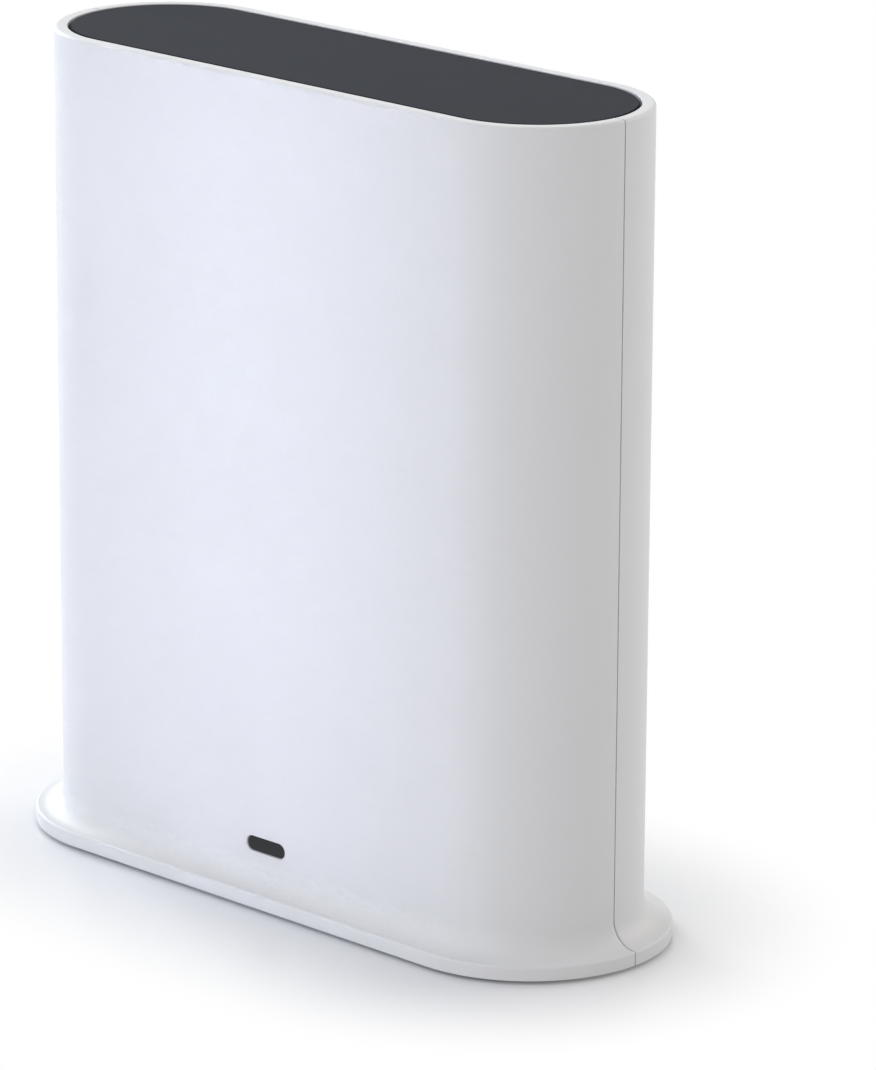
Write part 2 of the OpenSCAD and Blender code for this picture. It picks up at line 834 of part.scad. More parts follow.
module main_board() {
    color(board_green)
        difference() {
            block([-board_width / 2, board_front, board_bottom],
                [board_width / 2, board_back, board_top]);
            for (side = [-1, 1], height = [hole_z_low, hole_z_high])
                translate([side * hole_x, board_front - 1, height])
                    rotate([-90, 0, 0])
                        cylinder(r = screw_r + 2 * fit, h = board_thickness + 2);
            for (sx = [-1, 1], sz = [-1, 1])
                translate([sx * sink_foot_x, board_front - 1, sink_z + sz * sink_foot_z])
                    rotate([-90, 0, 0])
                        cylinder(r = sink_screw_r + fit / 2, h = board_thickness + 2);
        }
}

module board_screws() {
    for (side = [-1, 1]) {
        translate([side * hole_x, board_front, hole_z_low])
            rotate([-90, 0, 0])
                screw(screw_r, screw_length, screw_head_r, screw_head);
        translate([side * hole_x, carrier_face, hole_z_high])
            rotate([-90, 0, 0])
                screw(screw_r, screw_length, screw_head_r, screw_head);
    }
}

module processor() {
    color(chip_black)
        block([-processor_size / 2, board_front - processor_thickness, sink_z - processor_size / 2],
            [processor_size / 2, board_front, sink_z + processor_size / 2]);
}

module thermal_pad() {
    color([0.55, 0.6, 0.66])
        block([-processor_size / 2, sink_face, sink_z - processor_size / 2],
            [processor_size / 2, board_front - processor_thickness, sink_z + processor_size / 2]);
}

module heat_sink() {
    color([0.78, 0.79, 0.8])
        difference() {
            union() {
                block([-sink_width / 2, sink_face - sink_plate, sink_z - sink_height / 2],
                    [sink_width / 2, sink_face, sink_z + sink_height / 2]);
                for (i = [0:fin_count - 1])
                    translate([-sink_width / 2 + i * fin_pitch, 0, 0])
                        block([0, fin_tip, sink_z - sink_height / 2],
                            [fin_thickness, sink_face - sink_plate / 2, sink_z + sink_height / 2]);
                for (sx = [-1, 1], sz = [-1, 1])
                    translate([sx * sink_foot_x, sink_face - sink_plate / 2, sink_z + sz * sink_foot_z])
                        rotate([-90, 0, 0])
                            cylinder(r = sink_foot_r, h = board_front - sink_face + sink_plate / 2);
            }
            for (sx = [-1, 1], sz = [-1, 1])
                translate([sx * sink_foot_x, sink_face - sink_plate - 1, sink_z + sz * sink_foot_z])
                    rotate([-90, 0, 0])
                        cylinder(r = sink_screw_r + fit, h = board_front - sink_face + sink_plate + 2);
        }
}

module heat_sink_screws() {
    for (sx = [-1, 1], sz = [-1, 1])
        translate([sx * sink_foot_x, sink_face - sink_plate, sink_z + sz * sink_foot_z])
            rotate([-90, 0, 0])
                screw(sink_screw_r, board_back - sink_face + sink_plate, sink_head_r, sink_head);
}

module memory_chips() {
    color(chip_black)
        for (side = [-1, 1])
            translate([side * memory_x, 0, sink_z])
                block([-memory_width / 2, board_front - chip_thickness, -memory_height / 2],
                    [memory_width / 2, board_front, memory_height / 2]);
}

module flash_chip() {
    color(chip_black)
        translate([flash_x, 0, high_row_z])
            block([-radio_size / 2, board_back, -radio_size / 2],
                [radio_size / 2, board_back + chip_thickness, radio_size / 2]);
}

module shield_can(side) {
    color(steel)
        translate([side * can_x, board_back, can_z])
            difference() {
                block([-can_width / 2, 0, -can_height / 2], [can_width / 2, can_depth, can_height / 2]);
                block([-can_width / 2 + can_sheet, -1, -can_height / 2 + can_sheet],
                    [can_width / 2 - can_sheet, can_depth - can_sheet, can_height / 2 - can_sheet]);
            }
}

module shield_can_left() {
    shield_can(-1);
}

module shield_can_right() {
    shield_can(1);
}

module radio_chips() {
    color(chip_black)
        for (side = [-1, 1])
            translate([side * can_x, board_back, can_z])
                block([-radio_size / 2, 0, -radio_size / 2],
                    [radio_size / 2, chip_thickness, radio_size / 2]);
}

module ethernet_jack() {
    color(ink_black)
        translate([ethernet_x, 0, bay_z])
            difference() {
                block([-ethernet_width / 2, board_back, -ethernet_height / 2],
                    [ethernet_width / 2, socket_face, ethernet_height / 2]);
                block([-plug_width / 2, plug_end, plug_floor],
                    [plug_width / 2, socket_face + 1, plug_top]);
                block([-latch_width / 2, plug_end, plug_floor - latch_height],
                    [latch_width / 2, socket_face + 1, plug_floor + 1]);
            }
}

module ethernet_contacts() {
    foot_y = socket_face - contact_setback;
    tip_y = foot_y - contact_reach;
    seat_y = foot_y - contact_seat;
    color(gold)
        for (i = [0:7])
            translate([ethernet_x + (i - 3.5) * contact_pitch + contact_thickness / 2, 0, bay_z + plug_top])
                rotate([90, 0, -90])
                    linear_extrude(contact_thickness)
                        polygon([[-foot_y, 0], [-seat_y, 0], [-tip_y, -contact_drop + contact_thickness],
                            [-tip_y, -contact_drop], [-seat_y, -contact_thickness],
                            [-foot_y, -contact_thickness]]);
}

module ethernet_transformer() {
    color(chip_black)
        translate([ethernet_x, 0, low_row_z])
            block([-transformer_width / 2, board_back, -transformer_height / 2],
                [transformer_width / 2, board_back + transformer_depth, transformer_height / 2]);
}

module power_jack() {
    color(ink_black)
        translate([power_x, 0, bay_z])
            difference() {
                block([-power_size / 2, board_back, -power_size / 2],
                    [power_size / 2, socket_face, power_size / 2]);
                along_y(power_bore_back, socket_face + 1)
                    circle(power_bore_r);
            }
}

module power_jack_pin() {
    color(steel)
        translate([power_x, 0, bay_z])
            along_y(power_bore_back, socket_face - power_pin_depth)
                circle(power_pin_r);
}

module usb_port() {
    color(steel)
        translate([usb_x, 0, bay_z])
            along_y(board_back, socket_face)
                difference() {
                    square([usb_width, usb_height], center = true);
                    square([usb_width - 2 * usb_sheet, usb_height - 2 * usb_sheet], center = true);
                }
}

module usb_tongue() {
    side = usb_width / 2 - usb_sheet - fit / 2;
    color(ink_black)
        translate([usb_x, 0, bay_z]) {
            block([-side, board_back, -usb_roof], [side, usb_back_y, usb_roof]);
            block([-usb_tongue_width / 2, usb_back_y - usb_back / 2, usb_tongue_under],
                [usb_tongue_width / 2, usb_tongue_tip, usb_tongue_top]);
        }
}

module usb_contacts() {
    half = usb_contact_width / 2;
    color(gold)
        translate([usb_x, 0, bay_z])
            for (pitch = [usb_inner_pitch, usb_outer_pitch], side = [-1, 1])
                translate([side * pitch / 2, 0, 0])
                    block([-half, usb_back_y, usb_tongue_under - usb_contact_thickness],
                        [half, usb_tongue_tip - usb_contact_setback, usb_tongue_under]);
}

module sync_button() {
    cap_front = bay_floor + sync_proud;
    color([0.8, 0.81, 0.82])
        translate([sync_x, 0, bay_z])
            rotate([-90, 0, 0])
                rotate_extrude() {
                    translate([0, sync_flange_front - sync_flange_thickness])
                        square([sync_r + sync_flange, sync_flange_thickness]);
                    translate([0, sync_flange_front - 0.5])
                        square([sync_r, cap_front - sync_round - sync_flange_front + 0.5]);
                    translate([0, sync_flange_front - 0.5])
                        square([sync_r - sync_round, cap_front - sync_flange_front + 0.5]);
                    translate([sync_r - sync_round, cap_front - sync_round])
                        circle(sync_round);
                }
}

module sync_stem() {
    color([0.85, 0.85, 0.83])
        translate([sync_x, 0, bay_z])
            along_y(stem_back, sync_flange_front - sync_flange_thickness)
                circle(sync_stem_r);
}

// Switch body with a bore for its stem
module switch_body(size, stem_r) {
    color(chip_black)
        difference() {
            block([-size / 2, board_back, -size / 2], [size / 2, switch_face, size / 2]);
            along_y(switch_face - switch_bore, switch_face + 1)
                circle(stem_r + fit);
        }
}

module sync_switch() {
    translate([sync_x, 0, bay_z])
        switch_body(sync_switch_size, sync_stem_r);
}

module reset_plunger() {
    color([0.7, 0.2, 0.15])
        translate([reset_x, 0, bay_z])
            along_y(stem_back, bay_back - reset_setback)
                circle(reset_r);
}

module reset_switch() {
    translate([reset_x, 0, bay_z])
        switch_body(reset_switch_size, reset_r);
}

module bulk_capacitors() {
    color([0.2, 0.22, 0.3])
        for (height = [low_row_z, high_row_z])
            translate([capacitor_x, board_back, height])
                rotate([-90, 0, 0])
                    cylinder(r = capacitor_r, h = capacitor_height);
}

module power_inductors() {
    color([0.3, 0.3, 0.31])
        for (i = [0, 1])
            translate([inductor_x + i * inductor_pitch, 0, high_row_z])
                block([-inductor_size / 2, board_back, -inductor_size / 2],
                    [inductor_size / 2, board_back + inductor_depth, inductor_size / 2]);
}

module antenna_carrier() {
    half = board_width / 2;
    leg_bottom = hole_z_high - leg_width / 2;
    color([0.16, 0.16, 0.17])
        difference() {
            union() {
                block([-half, carrier_face, carrier_bottom],
                    [half, board_back + fit + carrier_back, carrier_top]);
                for (side = [-1, 1])
                    block([side * hole_x - leg_width / 2, carrier_face, leg_bottom],
                        [side * hole_x + leg_width / 2, board_front, carrier_bottom + 0.5]);
            }
            block([-half - 1, board_front, carrier_bottom - 1],
                [half + 1, board_back + fit, board_top + fit]);
            for (side = [-1, 1]) {
                translate([side * antenna_x, 0, 0])
                    block([-antenna_length / 2 - fit, antenna_front - fit / 2, antenna_bottom],
                        [antenna_length / 2 + fit, antenna_back + fit / 2, carrier_top + 1]);
                translate([side * hole_x, carrier_face - 1, hole_z_high])
                    rotate([-90, 0, 0])
                        cylinder(r = screw_r + 2 * fit, h = carrier_front + 2);
            }
        }
}

module antenna(side) {
    color(board_green)
        translate([side * antenna_x, 0, 0])
            block([-antenna_length / 2, antenna_front, antenna_bottom],
                [antenna_length / 2, antenna_back, antenna_top]);
}

module antenna_left() {
    antenna(-1);
}

module antenna_right() {
    antenna(1);
}

// Lead from the back of an antenna, down behind the carrier and into its connector
module coax(side) {
    bend_y = coax_y - coax_bend;
    color([0.12, 0.12, 0.13])
        translate([side * antenna_x, 0, 0]) {
            translate([0, 0, coax_top])
                along_y(antenna_back, bend_y)
                    circle(coax_r);
            translate([0, bend_y, coax_top - coax_bend])
                rotate([90, 0, 90])
                    rotate_extrude(angle = 90)
                        translate([coax_bend, 0])
                            circle(coax_r);
            translate([0, coax_y, coax_low + coax_bend])
                cylinder(r = coax_r, h = coax_top - coax_low - 2 * coax_bend);
            translate([0, bend_y, coax_low + coax_bend])
                rotate([90, 0, 90])
                    rotate([0, 0, -90])
                        rotate_extrude(angle = 90)
                            translate([coax_bend, 0])
                                circle(coax_r);
            translate([0, 0, coax_low])
                along_y(board_back + coax_plug_height, bend_y)
                    circle(coax_r);
        }
}

module coax_left() {
    coax(-1);
}

module coax_right() {
    coax(1);
}

module antenna_connectors() {
    color(gold)
        for (side = [-1, 1])
            translate([side * antenna_x, board_back, coax_low])
                rotate([-90, 0, 0])
                    cylinder(r = coax_plug_r, h = coax_plug_height);
}

front_shell();
rear_shell();
port_tray();
top_panel();
base_plate();
rubber_foot();
base_screws();
status_window();
light_pipe();
status_led();
main_board();
board_screws();
processor();
thermal_pad();
heat_sink();
heat_sink_screws();
memory_chips();
flash_chip();
shield_can_left();
shield_can_right();
radio_chips();
ethernet_jack();
ethernet_contacts();
ethernet_transformer();
power_jack();
power_jack_pin();
usb_port();
usb_tongue();
usb_contacts();
sync_button();
sync_stem();
sync_switch();
reset_plunger();
reset_switch();
bulk_capacitors();
power_inductors();
antenna_carrier();
antenna_left();
antenna_right();
coax_left();
coax_right();
antenna_connectors();
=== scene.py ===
"""Looks of a security camera base station: modelled housing and ports, finishes, stage and camera.

Metres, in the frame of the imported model: +Z is up, the front looks along -Y, the port bay along +Y.
"""

import json
import math
from types import SimpleNamespace

import bmesh
import bpy
from bpy.props import FloatProperty, FloatVectorProperty, PointerProperty
from mathutils import Matrix, Vector


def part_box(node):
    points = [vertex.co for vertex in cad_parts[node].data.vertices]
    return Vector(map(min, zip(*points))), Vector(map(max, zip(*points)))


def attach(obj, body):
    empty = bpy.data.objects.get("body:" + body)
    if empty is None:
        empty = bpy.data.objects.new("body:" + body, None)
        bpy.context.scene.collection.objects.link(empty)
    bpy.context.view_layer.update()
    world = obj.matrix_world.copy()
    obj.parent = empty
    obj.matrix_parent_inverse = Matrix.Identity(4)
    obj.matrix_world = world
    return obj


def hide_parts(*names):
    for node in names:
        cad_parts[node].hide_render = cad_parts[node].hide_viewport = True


bl_info = {
    "name": "Security Camera Base Station",
    "version": (1, 0, 0),
    "blender": (4, 5, 0),
    "location": "View3D > Sidebar > Base Station",
    "description": "Models the housing and ports of a camera base station, its finishes and its stage",
    "category": "Object",
}

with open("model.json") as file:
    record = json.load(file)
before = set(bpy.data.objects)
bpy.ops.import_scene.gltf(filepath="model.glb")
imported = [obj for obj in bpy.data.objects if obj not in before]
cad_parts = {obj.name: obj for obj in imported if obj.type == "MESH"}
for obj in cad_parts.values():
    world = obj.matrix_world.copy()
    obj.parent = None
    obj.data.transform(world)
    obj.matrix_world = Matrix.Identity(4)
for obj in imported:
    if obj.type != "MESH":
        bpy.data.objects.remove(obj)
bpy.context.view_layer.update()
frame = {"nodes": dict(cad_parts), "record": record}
NODES = frame["nodes"]
SLOT_OF = {part["node"]: part["material_slot"] for part in frame["record"]["subparts"]}
BODY_OF = {
    node: body
    for body, nodes in frame["record"]["behaviour"]["bodies"].items()
    for node in nodes
}
# The material of each slot, filled by the step that makes the finishes
FINISHES = {}

MM = 0.001
# Two points closer than this are the same place
NEAR = 1e-6
# Faces that turn less than this at an edge are one flat face
FLAT = math.radians(3)
# Faces that turn more than this at an edge meet in a crease
CREASE = math.radians(32)
# Weight of large faces in the shading of their edges: 50 is even, 100 is the most
FACE_WEIGHT = 100
# How far a cutting shape runs past the wall that it cuts
PAST = MM
# Flat pieces in a quarter turn of the housing's round ends, in a small round edge and along the tongue
BODY_STEPS = 40
EDGE_STEPS = 6
TONGUE_STEPS = 4
# Sides of the screw posts, of bores and screws, and of the button
POST_SIDES = 32
ROD_SIDES = 48
BUTTON_SIDES = 72
# Rings that shape the button's finger dish
DISH_RINGS = 8
# Rounding of a screw's head as a share of its height, and of its tip as a share of its radius
HEAD_ROUND = 1 / 3
TIP_ROUND = 1 / 2
# Length of a screw's cross recess in head radii, and the share of its size that is left at its floor
CROSS_SPAN = 1.2
CROSS_TAPER = 0.7
# Ways in which a flat disc is pulled, and the turn of a new disc that makes it face away from the pull
PULL_WAY = {"Y": Vector((0, 1, 0)), "Z": Vector((0, 0, 1))}
DISC_TURN = {"Y": (math.pi / 2, 0, 0), "Z": (math.pi, 0, 0)}
# Names under which a mesh keeps its parts
PARTS = {"VERT": "verts", "EDGE": "edges", "FACE": "faces"}


# Small makers of properties and colours

def length(name, description, millimetres):
    """A size of the object, given in millimetres and kept in metres."""
    return FloatProperty(
        name=name, description=description, default=millimetres * MM, unit="LENGTH", precision=5
    )


def angle(name, description, degrees):
    """An angle, given in degrees."""
    return FloatProperty(
        name=name, description=description, default=math.radians(degrees), subtype="ANGLE"
    )


def power(name, description, watts):
    """The power of a lamp."""
    return FloatProperty(name=name, description=description, default=watts, min=0, unit="POWER")


def number(name, description, value, **limits):
    """A plain number that isn't negative, with other limits where it has them."""
    return FloatProperty(name=name, description=description, default=value, **{"min": 0, **limits})


def linear(code):
    """Linear RGB of an sRGB hex colour."""
    channels = [int(code[i:i + 2], 16) / 255 for i in (0, 2, 4)]
    return [c / 12.92 if c <= 0.04045 else ((c + 0.055) / 1.055) ** 2.4 for c in channels]


def tint(name, description, code):
    """A colour that a user may change, from an sRGB hex value."""
    return FloatVectorProperty(
        name=name, description=description, default=linear(code), subtype="COLOR", min=0, max=1
    )


class HousingSizes(bpy.types.PropertyGroup):
    """Sizes of the shells, the window and the foot"""

    body_depth: length("Body depth", "Front to back of the upright body", 35.7)
    wall: length("Wall", "Thickness of the shell walls", 2.0)
    seam_gap: length("Seam", "Open width between the two shells", 0.24)
    seam_round: length("Seam edge", "Softening of the edges along the seam", 0.1)
    tongue_thickness: length("Tongue", "Thickness of the tongue that closes the seam", 0.9)
    tongue_reach: length("Tongue reach", "How far the tongue reaches past the seam", 1.8)
    fit: length("Fit", "Clearance between fixed pieces", 0.1)
    foot_edge_height: length("Foot edge", "Height of the foot's upright edge", 2.2)
    foot_round: length("Foot edge rounding", "Radius of the foot's upper edge", 0.4)
    foot_wall: length("Foot wall", "Thickness of the foot's edge around the base plate", 1.6)
    base_thickness: length("Base recess", "Depth that the base plate is let in", 1.4)
    rim_width: length("Rim", "Width of the white rim around the top panel", 2.1)
    rim_round: length("Rim rounding", "Radius of the rim's outer edge", 0.6)
    rim_chamfer: length("Rim chamfer", "Softening of the rim's inner edge", 0.2)
    panel_thickness: length("Panel", "Thickness of the top panel", 2.0)
    ledge_width: length("Ledge", "Width of the ledge under the top panel", 2.5)
    ledge_thickness: length("Ledge thickness", "Thickness of that ledge", 1.5)
    post_r: length("Board posts", "Radius of the posts that carry the circuit board", 3.0)
    base_post_r: length("Base posts", "Radius of the posts that take the base screws", 3.2)
    base_post_end: length("Base post ends", "Solid end of those posts above their holes", 1.0)
    window_length: length("Window", "Length of the slot for the status window", 8.3)
    window_height: length("Window height", "Height of that slot", 2.5)
    window_flange: length("Lens flange", "Width of the flange behind the lens", 1.0)
    window_flange_thickness: length("Lens flange thickness", "Thickness of that flange", 0.8)
    slot_round: length("Slot edge", "Softening of the window slot and of the tray's opening", 0.06)
    lens_round: length("Lens edge", "Rounding of the lens's edge", 0.1)
    pad_width: length("Pad", "Width of the rubber foot's ring", 4.0)
    pad_round: length("Pad edge", "Rounding of the rubber foot's lower edges", 0.3)


class PortSizes(bpy.types.PropertyGroup):
    """Sizes of the port tray, the sockets, the buttons and the screws"""

    bay_wall: length("Tray wall", "Thickness of the port tray's walls and floor", 1.8)
    bay_corner: length("Bay corner", "Corner radius of the port bay", 4.0)
    bay_depth: length("Bay depth", "Depth of the port bay", 5.0)
    tray_flange: length("Tray flange", "Width of the tray's flange behind the shell", 1.2)
    tray_flange_thickness: length("Tray flange thickness", "Thickness of that flange", 1.2)
    port_gap: length("Port gap", "Gap around each socket in the tray's floor", 0.25)
    sync_gap: length("Button gap", "Gap around the sync button", 0.2)
    edge_round: length("Tray edges", "Softening of the tray's edges", 0.25)
    hole_round: length("Floor holes", "Softening of the holes in the bay's floor", 0.15)
    bay_fillet: length("Bay fillet", "Rounding where the bay's walls meet its floor", 0.6)
    pinhole_r: length("Pinhole", "Radius of the reset pinhole", 0.8)
    plug_width: length("Plug opening", "Width of the network socket's opening", 11.9)
    plug_height: length("Plug opening height", "Height of that opening", 8.4)
    plug_roof: length("Plug roof", "Wall above that opening", 1.3)
    plug_back: length("Plug back", "Solid back of the network socket", 2.5)
    latch_width: length("Latch notch", "Width of the latch notch", 6.2)
    latch_height: length("Latch notch height", "Height of the latch notch", 2.4)
    power_bore_r: length("Power bore", "Bore radius of the power jack", 3.1)
    power_back: length("Power back", "Solid back of the power jack", 3.5)
    mouth_chamfer: length("Socket mouths", "Chamfer around the sockets' openings", 0.3)
    usb_sheet: length("Storage sheet", "Sheet thickness of the storage socket", 0.3)
    usb_corner: length("Storage corner", "Outer corner radius of the storage socket", 0.7)
    usb_round: length("Storage edge", "Softening of the storage socket's front edges", 0.1)
    sync_flange: length("Button flange", "Width of the flange that keeps the button in", 1.2)
    sync_flange_thickness: length("Button flange thickness", "Thickness of that flange", 1.2)
    sync_round: length("Button edge", "Rounding of the button's edge", 0.5)
    dish_depth: length("Button dish", "Depth of the finger dish in the button", 0.3)
    screw_head_r: length("Screw head", "Head radius of the base screws", 2.4)
    screw_head: length("Screw head height", "Head height of the base screws", 1.6)
    screw_r: length("Screw thread", "Thread radius of the base screws", 1.25)
    cross_width: length("Cross", "Width of the cross recess at its mouth", 0.8)


class FinishColours(bpy.types.PropertyGroup):
    """Colours of the finishes, as they look in plain light"""

    shell: tint("Shell", "White moulded shells", "E2E3E5")
    panel: tint("Top panel", "Dark grey top panel", "2A2D33")
    # Painted shade: the top panel's sides are coloured near black so that the gap around the panel reads
    # as shadow
    panel_side_shade: tint("Panel sides", "Black sides of the top panel", "060607")
    base: tint("Base", "Pale grey base plate and port tray", "D3D5D8")
    rubber: tint("Rubber", "Rubber foot", "262728")
    lens: tint("Lens", "Smoked status window", "0C0D0E")
    button: tint("Button", "Sync button", "B9BCC0")
    socket: tint("Sockets", "Black mouldings of the sockets", "1B1B1D")
    stem: tint("Stem", "Switch stems", "A8452E")
    board: tint("Board", "Solder mask of the circuit board", "1C5A36")
    board_pad: tint("Board pads", "Tinned pads on the circuit board", "C8C2A8")
    chip: tint("Chips", "Epoxy of chips and switches", "1E1F20")
    thermal_pad: tint("Thermal pad", "Filled silicone under the heat sink", "7F8C99")
    lead: tint("Leads", "Sheath of the antenna leads", "1C1C1E")
    ferrite: tint("Ferrite", "Bodies of the power coils", "3A3A3C")
    capacitor: tint("Capacitors", "Sleeves of the capacitors", "20263A")
    light_guide: tint("Light guide", "Acrylic between the lamp and the window", "EEF3F6")
    phosphor: tint("Lamp", "Phosphor of the status lamp", "EFE3A0")
    steel: tint("Steel", "Zinc plated screws and pin", "C9CACB")
    tin: tint("Tinned sheet", "Lids of the radios and the storage socket", "D0D0CC")
    aluminium: tint("Aluminium", "Heat sink", "CFD1D3")
    gold: tint("Gold", "Plated contacts", "DDB867")


class StageSettings(bpy.types.PropertyGroup):
    """Camera, lamps and floor"""

    azimuth: angle("Azimuth", "Camera's turn from the front towards +X", 43.34)
    elevation: angle("Elevation", "Camera's height above the horizon", 16.64)
    roll: angle("Roll", "Camera's tilt about its own axis", 0.33)
    distance: length("Distance", "From the camera to the point it looks at", 934.8)
    target_x: length("Target X", "Sideways place of the point the camera looks at", 19.4)
    target_z: length("Target Z", "Height of the point the camera looks at", 59.5)
    lens: number("Lens", "Focal length in millimetres", 206.84, min=1)
    room_side: number("Room light", "Strength of the soft light from all sides", 0.865)
    room_dim: number("Dim room light", "Strength of that light from high up behind at the right", 0.38)
    side_power: power("Side lamp", "Power of the cool lamp at the left", 2.45)
    glow_power: power("Glow lamp", "Power of the narrow lamp that brightens the front's middle", 0.0142)
    glow_spread: angle("Glow spread", "Opening angle of that lamp's beam", 6)
    edge_power: power("Edge lamp", "Power of the lamp behind the left end", 8.6)
    top_power: power("Top lamp", "Power of the wide lamp overhead", 2.1)
    back_power: power("Back lamp", "Power of the lamp behind the object", 5.4)
    shadow_start: length("Shadow start", "Distance from the foot at which its shadow starts to fade", 0)
    shadow_end: length("Shadow end", "Distance from the foot at which the floor is plain white", 36)
    shadow_tuck: length("Shadow tuck", "How much sooner the shadow fades at the foot's two ends", 8)
    room_tint: tint("Room tint", "Colour of the soft light", "FFFBF7")
    floor: tint("Floor", "Pale coated paper", "EDEEF1")
    floor_roughness: number("Floor sheen", "Roughness of the paper's coating", 0.25, max=1)


# Modelling steps that every piece shares

def near(a, b):
    """True where two sizes are the same."""
    return abs(a - b) < NEAR


def everywhere(corner):
    """A test that every corner passes."""
    return True


def level(axis, value):
    """A test for the corners that lie at one place along an axis."""
    return lambda corner: near(getattr(corner, axis), value)


def within(y, middle, half_width, half_height):
    """A test for the corners in a rectangle on an upright plane across Y."""
    def inside(corner):
        from_middle = corner - middle
        return near(corner.y, y) and abs(from_middle.x) < half_width and abs(from_middle.z) < half_height

    return inside


def close():
    """Leaves edit mode, where a mesh is open."""
    if bpy.context.mode != "OBJECT":
        bpy.ops.object.mode_set(mode="OBJECT")


def choose(pieces):
    """Selects only these objects and makes the first one active."""
    close()
    bpy.ops.object.select_all(action="DESELECT")
    for piece in pieces:
        piece.select_set(True)
    bpy.context.view_layer.objects.active = pieces[0]


def start(add_primitive, location=(0, 0, 0), rotation=(0, 0, 0), scale=(1, 1, 1), **settings):
    """Adds a primitive with nothing else selected, fixes its place in its mesh and opens it."""
    close()
    bpy.ops.object.select_all(action="DESELECT")
    add_primitive(location=location, rotation=rotation, **settings)
    piece = bpy.context.object
    piece.scale = scale
    bpy.ops.object.transform_apply(location=True, rotation=True, scale=True)
    bpy.ops.object.mode_set(mode="EDIT")
    return piece


def reopen(piece):
    """Makes a finished mesh the only selected one and opens it again."""
    choose([piece])
    bpy.ops.object.mode_set(mode="EDIT")


def pick(kind, test):
    """Selects only the vertices, edges or faces whose corners all pass the test."""
    bpy.ops.mesh.select_mode(type=kind)
    bpy.ops.mesh.select_all(action="DESELECT")
    mesh = bpy.context.object.data
    shape = bmesh.from_edit_mesh(mesh)
    found = 0
    for part in getattr(shape, PARTS[kind]):
        corners = [part] if kind == "VERT" else part.verts
        if all(test(corner.co) for corner in corners):
            part.select_set(True)
            found += 1
    if not found:
        raise RuntimeError(f"nothing to pick on {bpy.context.object.name}")
    shape.select_flush_mode()
    bmesh.update_edit_mesh(mesh)


def pull(move):
    """Extrudes what is selected and moves it."""
    bpy.ops.mesh.extrude_region_move(TRANSFORM_OT_translate={"value": move})


def pull_edges(test, move):
    """Extrudes the edges that pass the test."""
    pick("EDGE", test)
    pull(move)


def weld():
    """Joins corners that lie on each other."""
    bpy.ops.mesh.select_all(action="SELECT")
    bpy.ops.mesh.remove_doubles(threshold=NEAR)


def merge():
    """Joins corners that lie on each other and turns all faces outwards."""
    weld()
    bpy.ops.mesh.normals_make_consistent(inside=False)


def step_in(test, border, move):
    """Insets the faces that pass the test by a border and extrudes what is left of them."""
    pick("FACE", test)
    bpy.ops.mesh.inset(thickness=border)
    pull(move)
    merge()


def round_corners(test, radius, steps):
    """Rounds the corners of a flat outline."""
    pick("VERT", test)
    bpy.ops.mesh.bevel(
        offset_type="ABSOLUTE", offset=radius, segments=steps, affect="VERTICES", clamp_overlap=False
    )


def soften(test, radius, steps=2):
    """Rounds the edges that pass the test, apart from those inside a flat face."""
    pick("EDGE", test)
    mesh = bpy.context.object.data
    for edge in bmesh.from_edit_mesh(mesh).edges:
        if edge.select and edge.calc_face_angle(0) < FLAT:
            edge.select_set(False)
    bmesh.update_edit_mesh(mesh)
    bpy.ops.mesh.bevel(offset_type="OFFSET", offset=radius, segments=steps, affect="EDGES")


def plate(width, height, corner, centre, facing=1, steps=EDGE_STEPS):
    """Starts an upright flat plate with round corners that faces along Y, or against it."""
    piece = start(
        bpy.ops.mesh.primitive_plane_add, size=1, location=centre,
        rotation=(-facing * math.pi / 2, 0, 0), scale=(width, height, 1),
    )
    if corner:
        round_corners(everywhere, corner, steps)
        weld()
    pick("FACE", everywhere)
    return piece


def prism(width, height, corner, centre, depth, steps=EDGE_STEPS):
    """Models a bar with a round-cornered section that runs along +Y from its centre point."""
    piece = plate(width, height, corner, centre, -1, steps)
    pull((0, depth, 0))
    merge()
    return piece


def block(low, high, corner=0):
    """Models a bar along Y that fills a box."""
    middle = (low + high) / 2
    size = high - low
    return prism(size.x, size.z, corner, (middle.x, low.y, middle.z), size.y)


def disc(radius, centre, axis, sides):
    """Starts a flat disc across an axis."""
    return start(
        bpy.ops.mesh.primitive_circle_add, vertices=sides, radius=radius, fill_type="NGON",
        location=centre, rotation=DISC_TURN[axis],
    )


def rod(radius, centre, depth):
    """Models a round bar that runs along +Y from its centre point."""
    piece = disc(radius, centre, "Y", ROD_SIDES)
    pull((0, depth, 0))
    merge()
    return piece


def join(piece, others):
    """Makes several meshes one object."""
    choose([piece, *others])
    bpy.ops.object.join()


def cut(piece, cutter):
    """Cuts another mesh out of a piece and removes that mesh."""
    choose([piece])
    modifier = piece.modifiers.new("cut", "BOOLEAN")
    modifier.operation = "DIFFERENCE"
    modifier.object = cutter
    modifier.solver = "EXACT"
    bpy.ops.object.modifier_apply(modifier=modifier.name)
    bpy.data.objects.remove(cutter)
    reopen(piece)


def hand_over(piece, name, node):
    """Shades a finished piece, gives it its finish and puts it in the place of its CAD node."""
    choose([piece])
    bpy.ops.object.shade_smooth_by_angle(angle=CREASE)
    # Large faces set the shading of the edges beside them, so flat walls stay flat
    modifier = piece.modifiers.new("even", "WEIGHTED_NORMAL")
    modifier.weight = FACE_WEIGHT
    modifier.keep_sharp = True
    bpy.ops.object.modifier_apply(modifier=modifier.name)
    piece.name = name
    piece.data.name = name
    piece.data.materials.clear()
    piece.data.materials.append(FINISHES[SLOT_OF[node]])
    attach(piece, BODY_OF[node])
    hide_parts(node)


# The housing

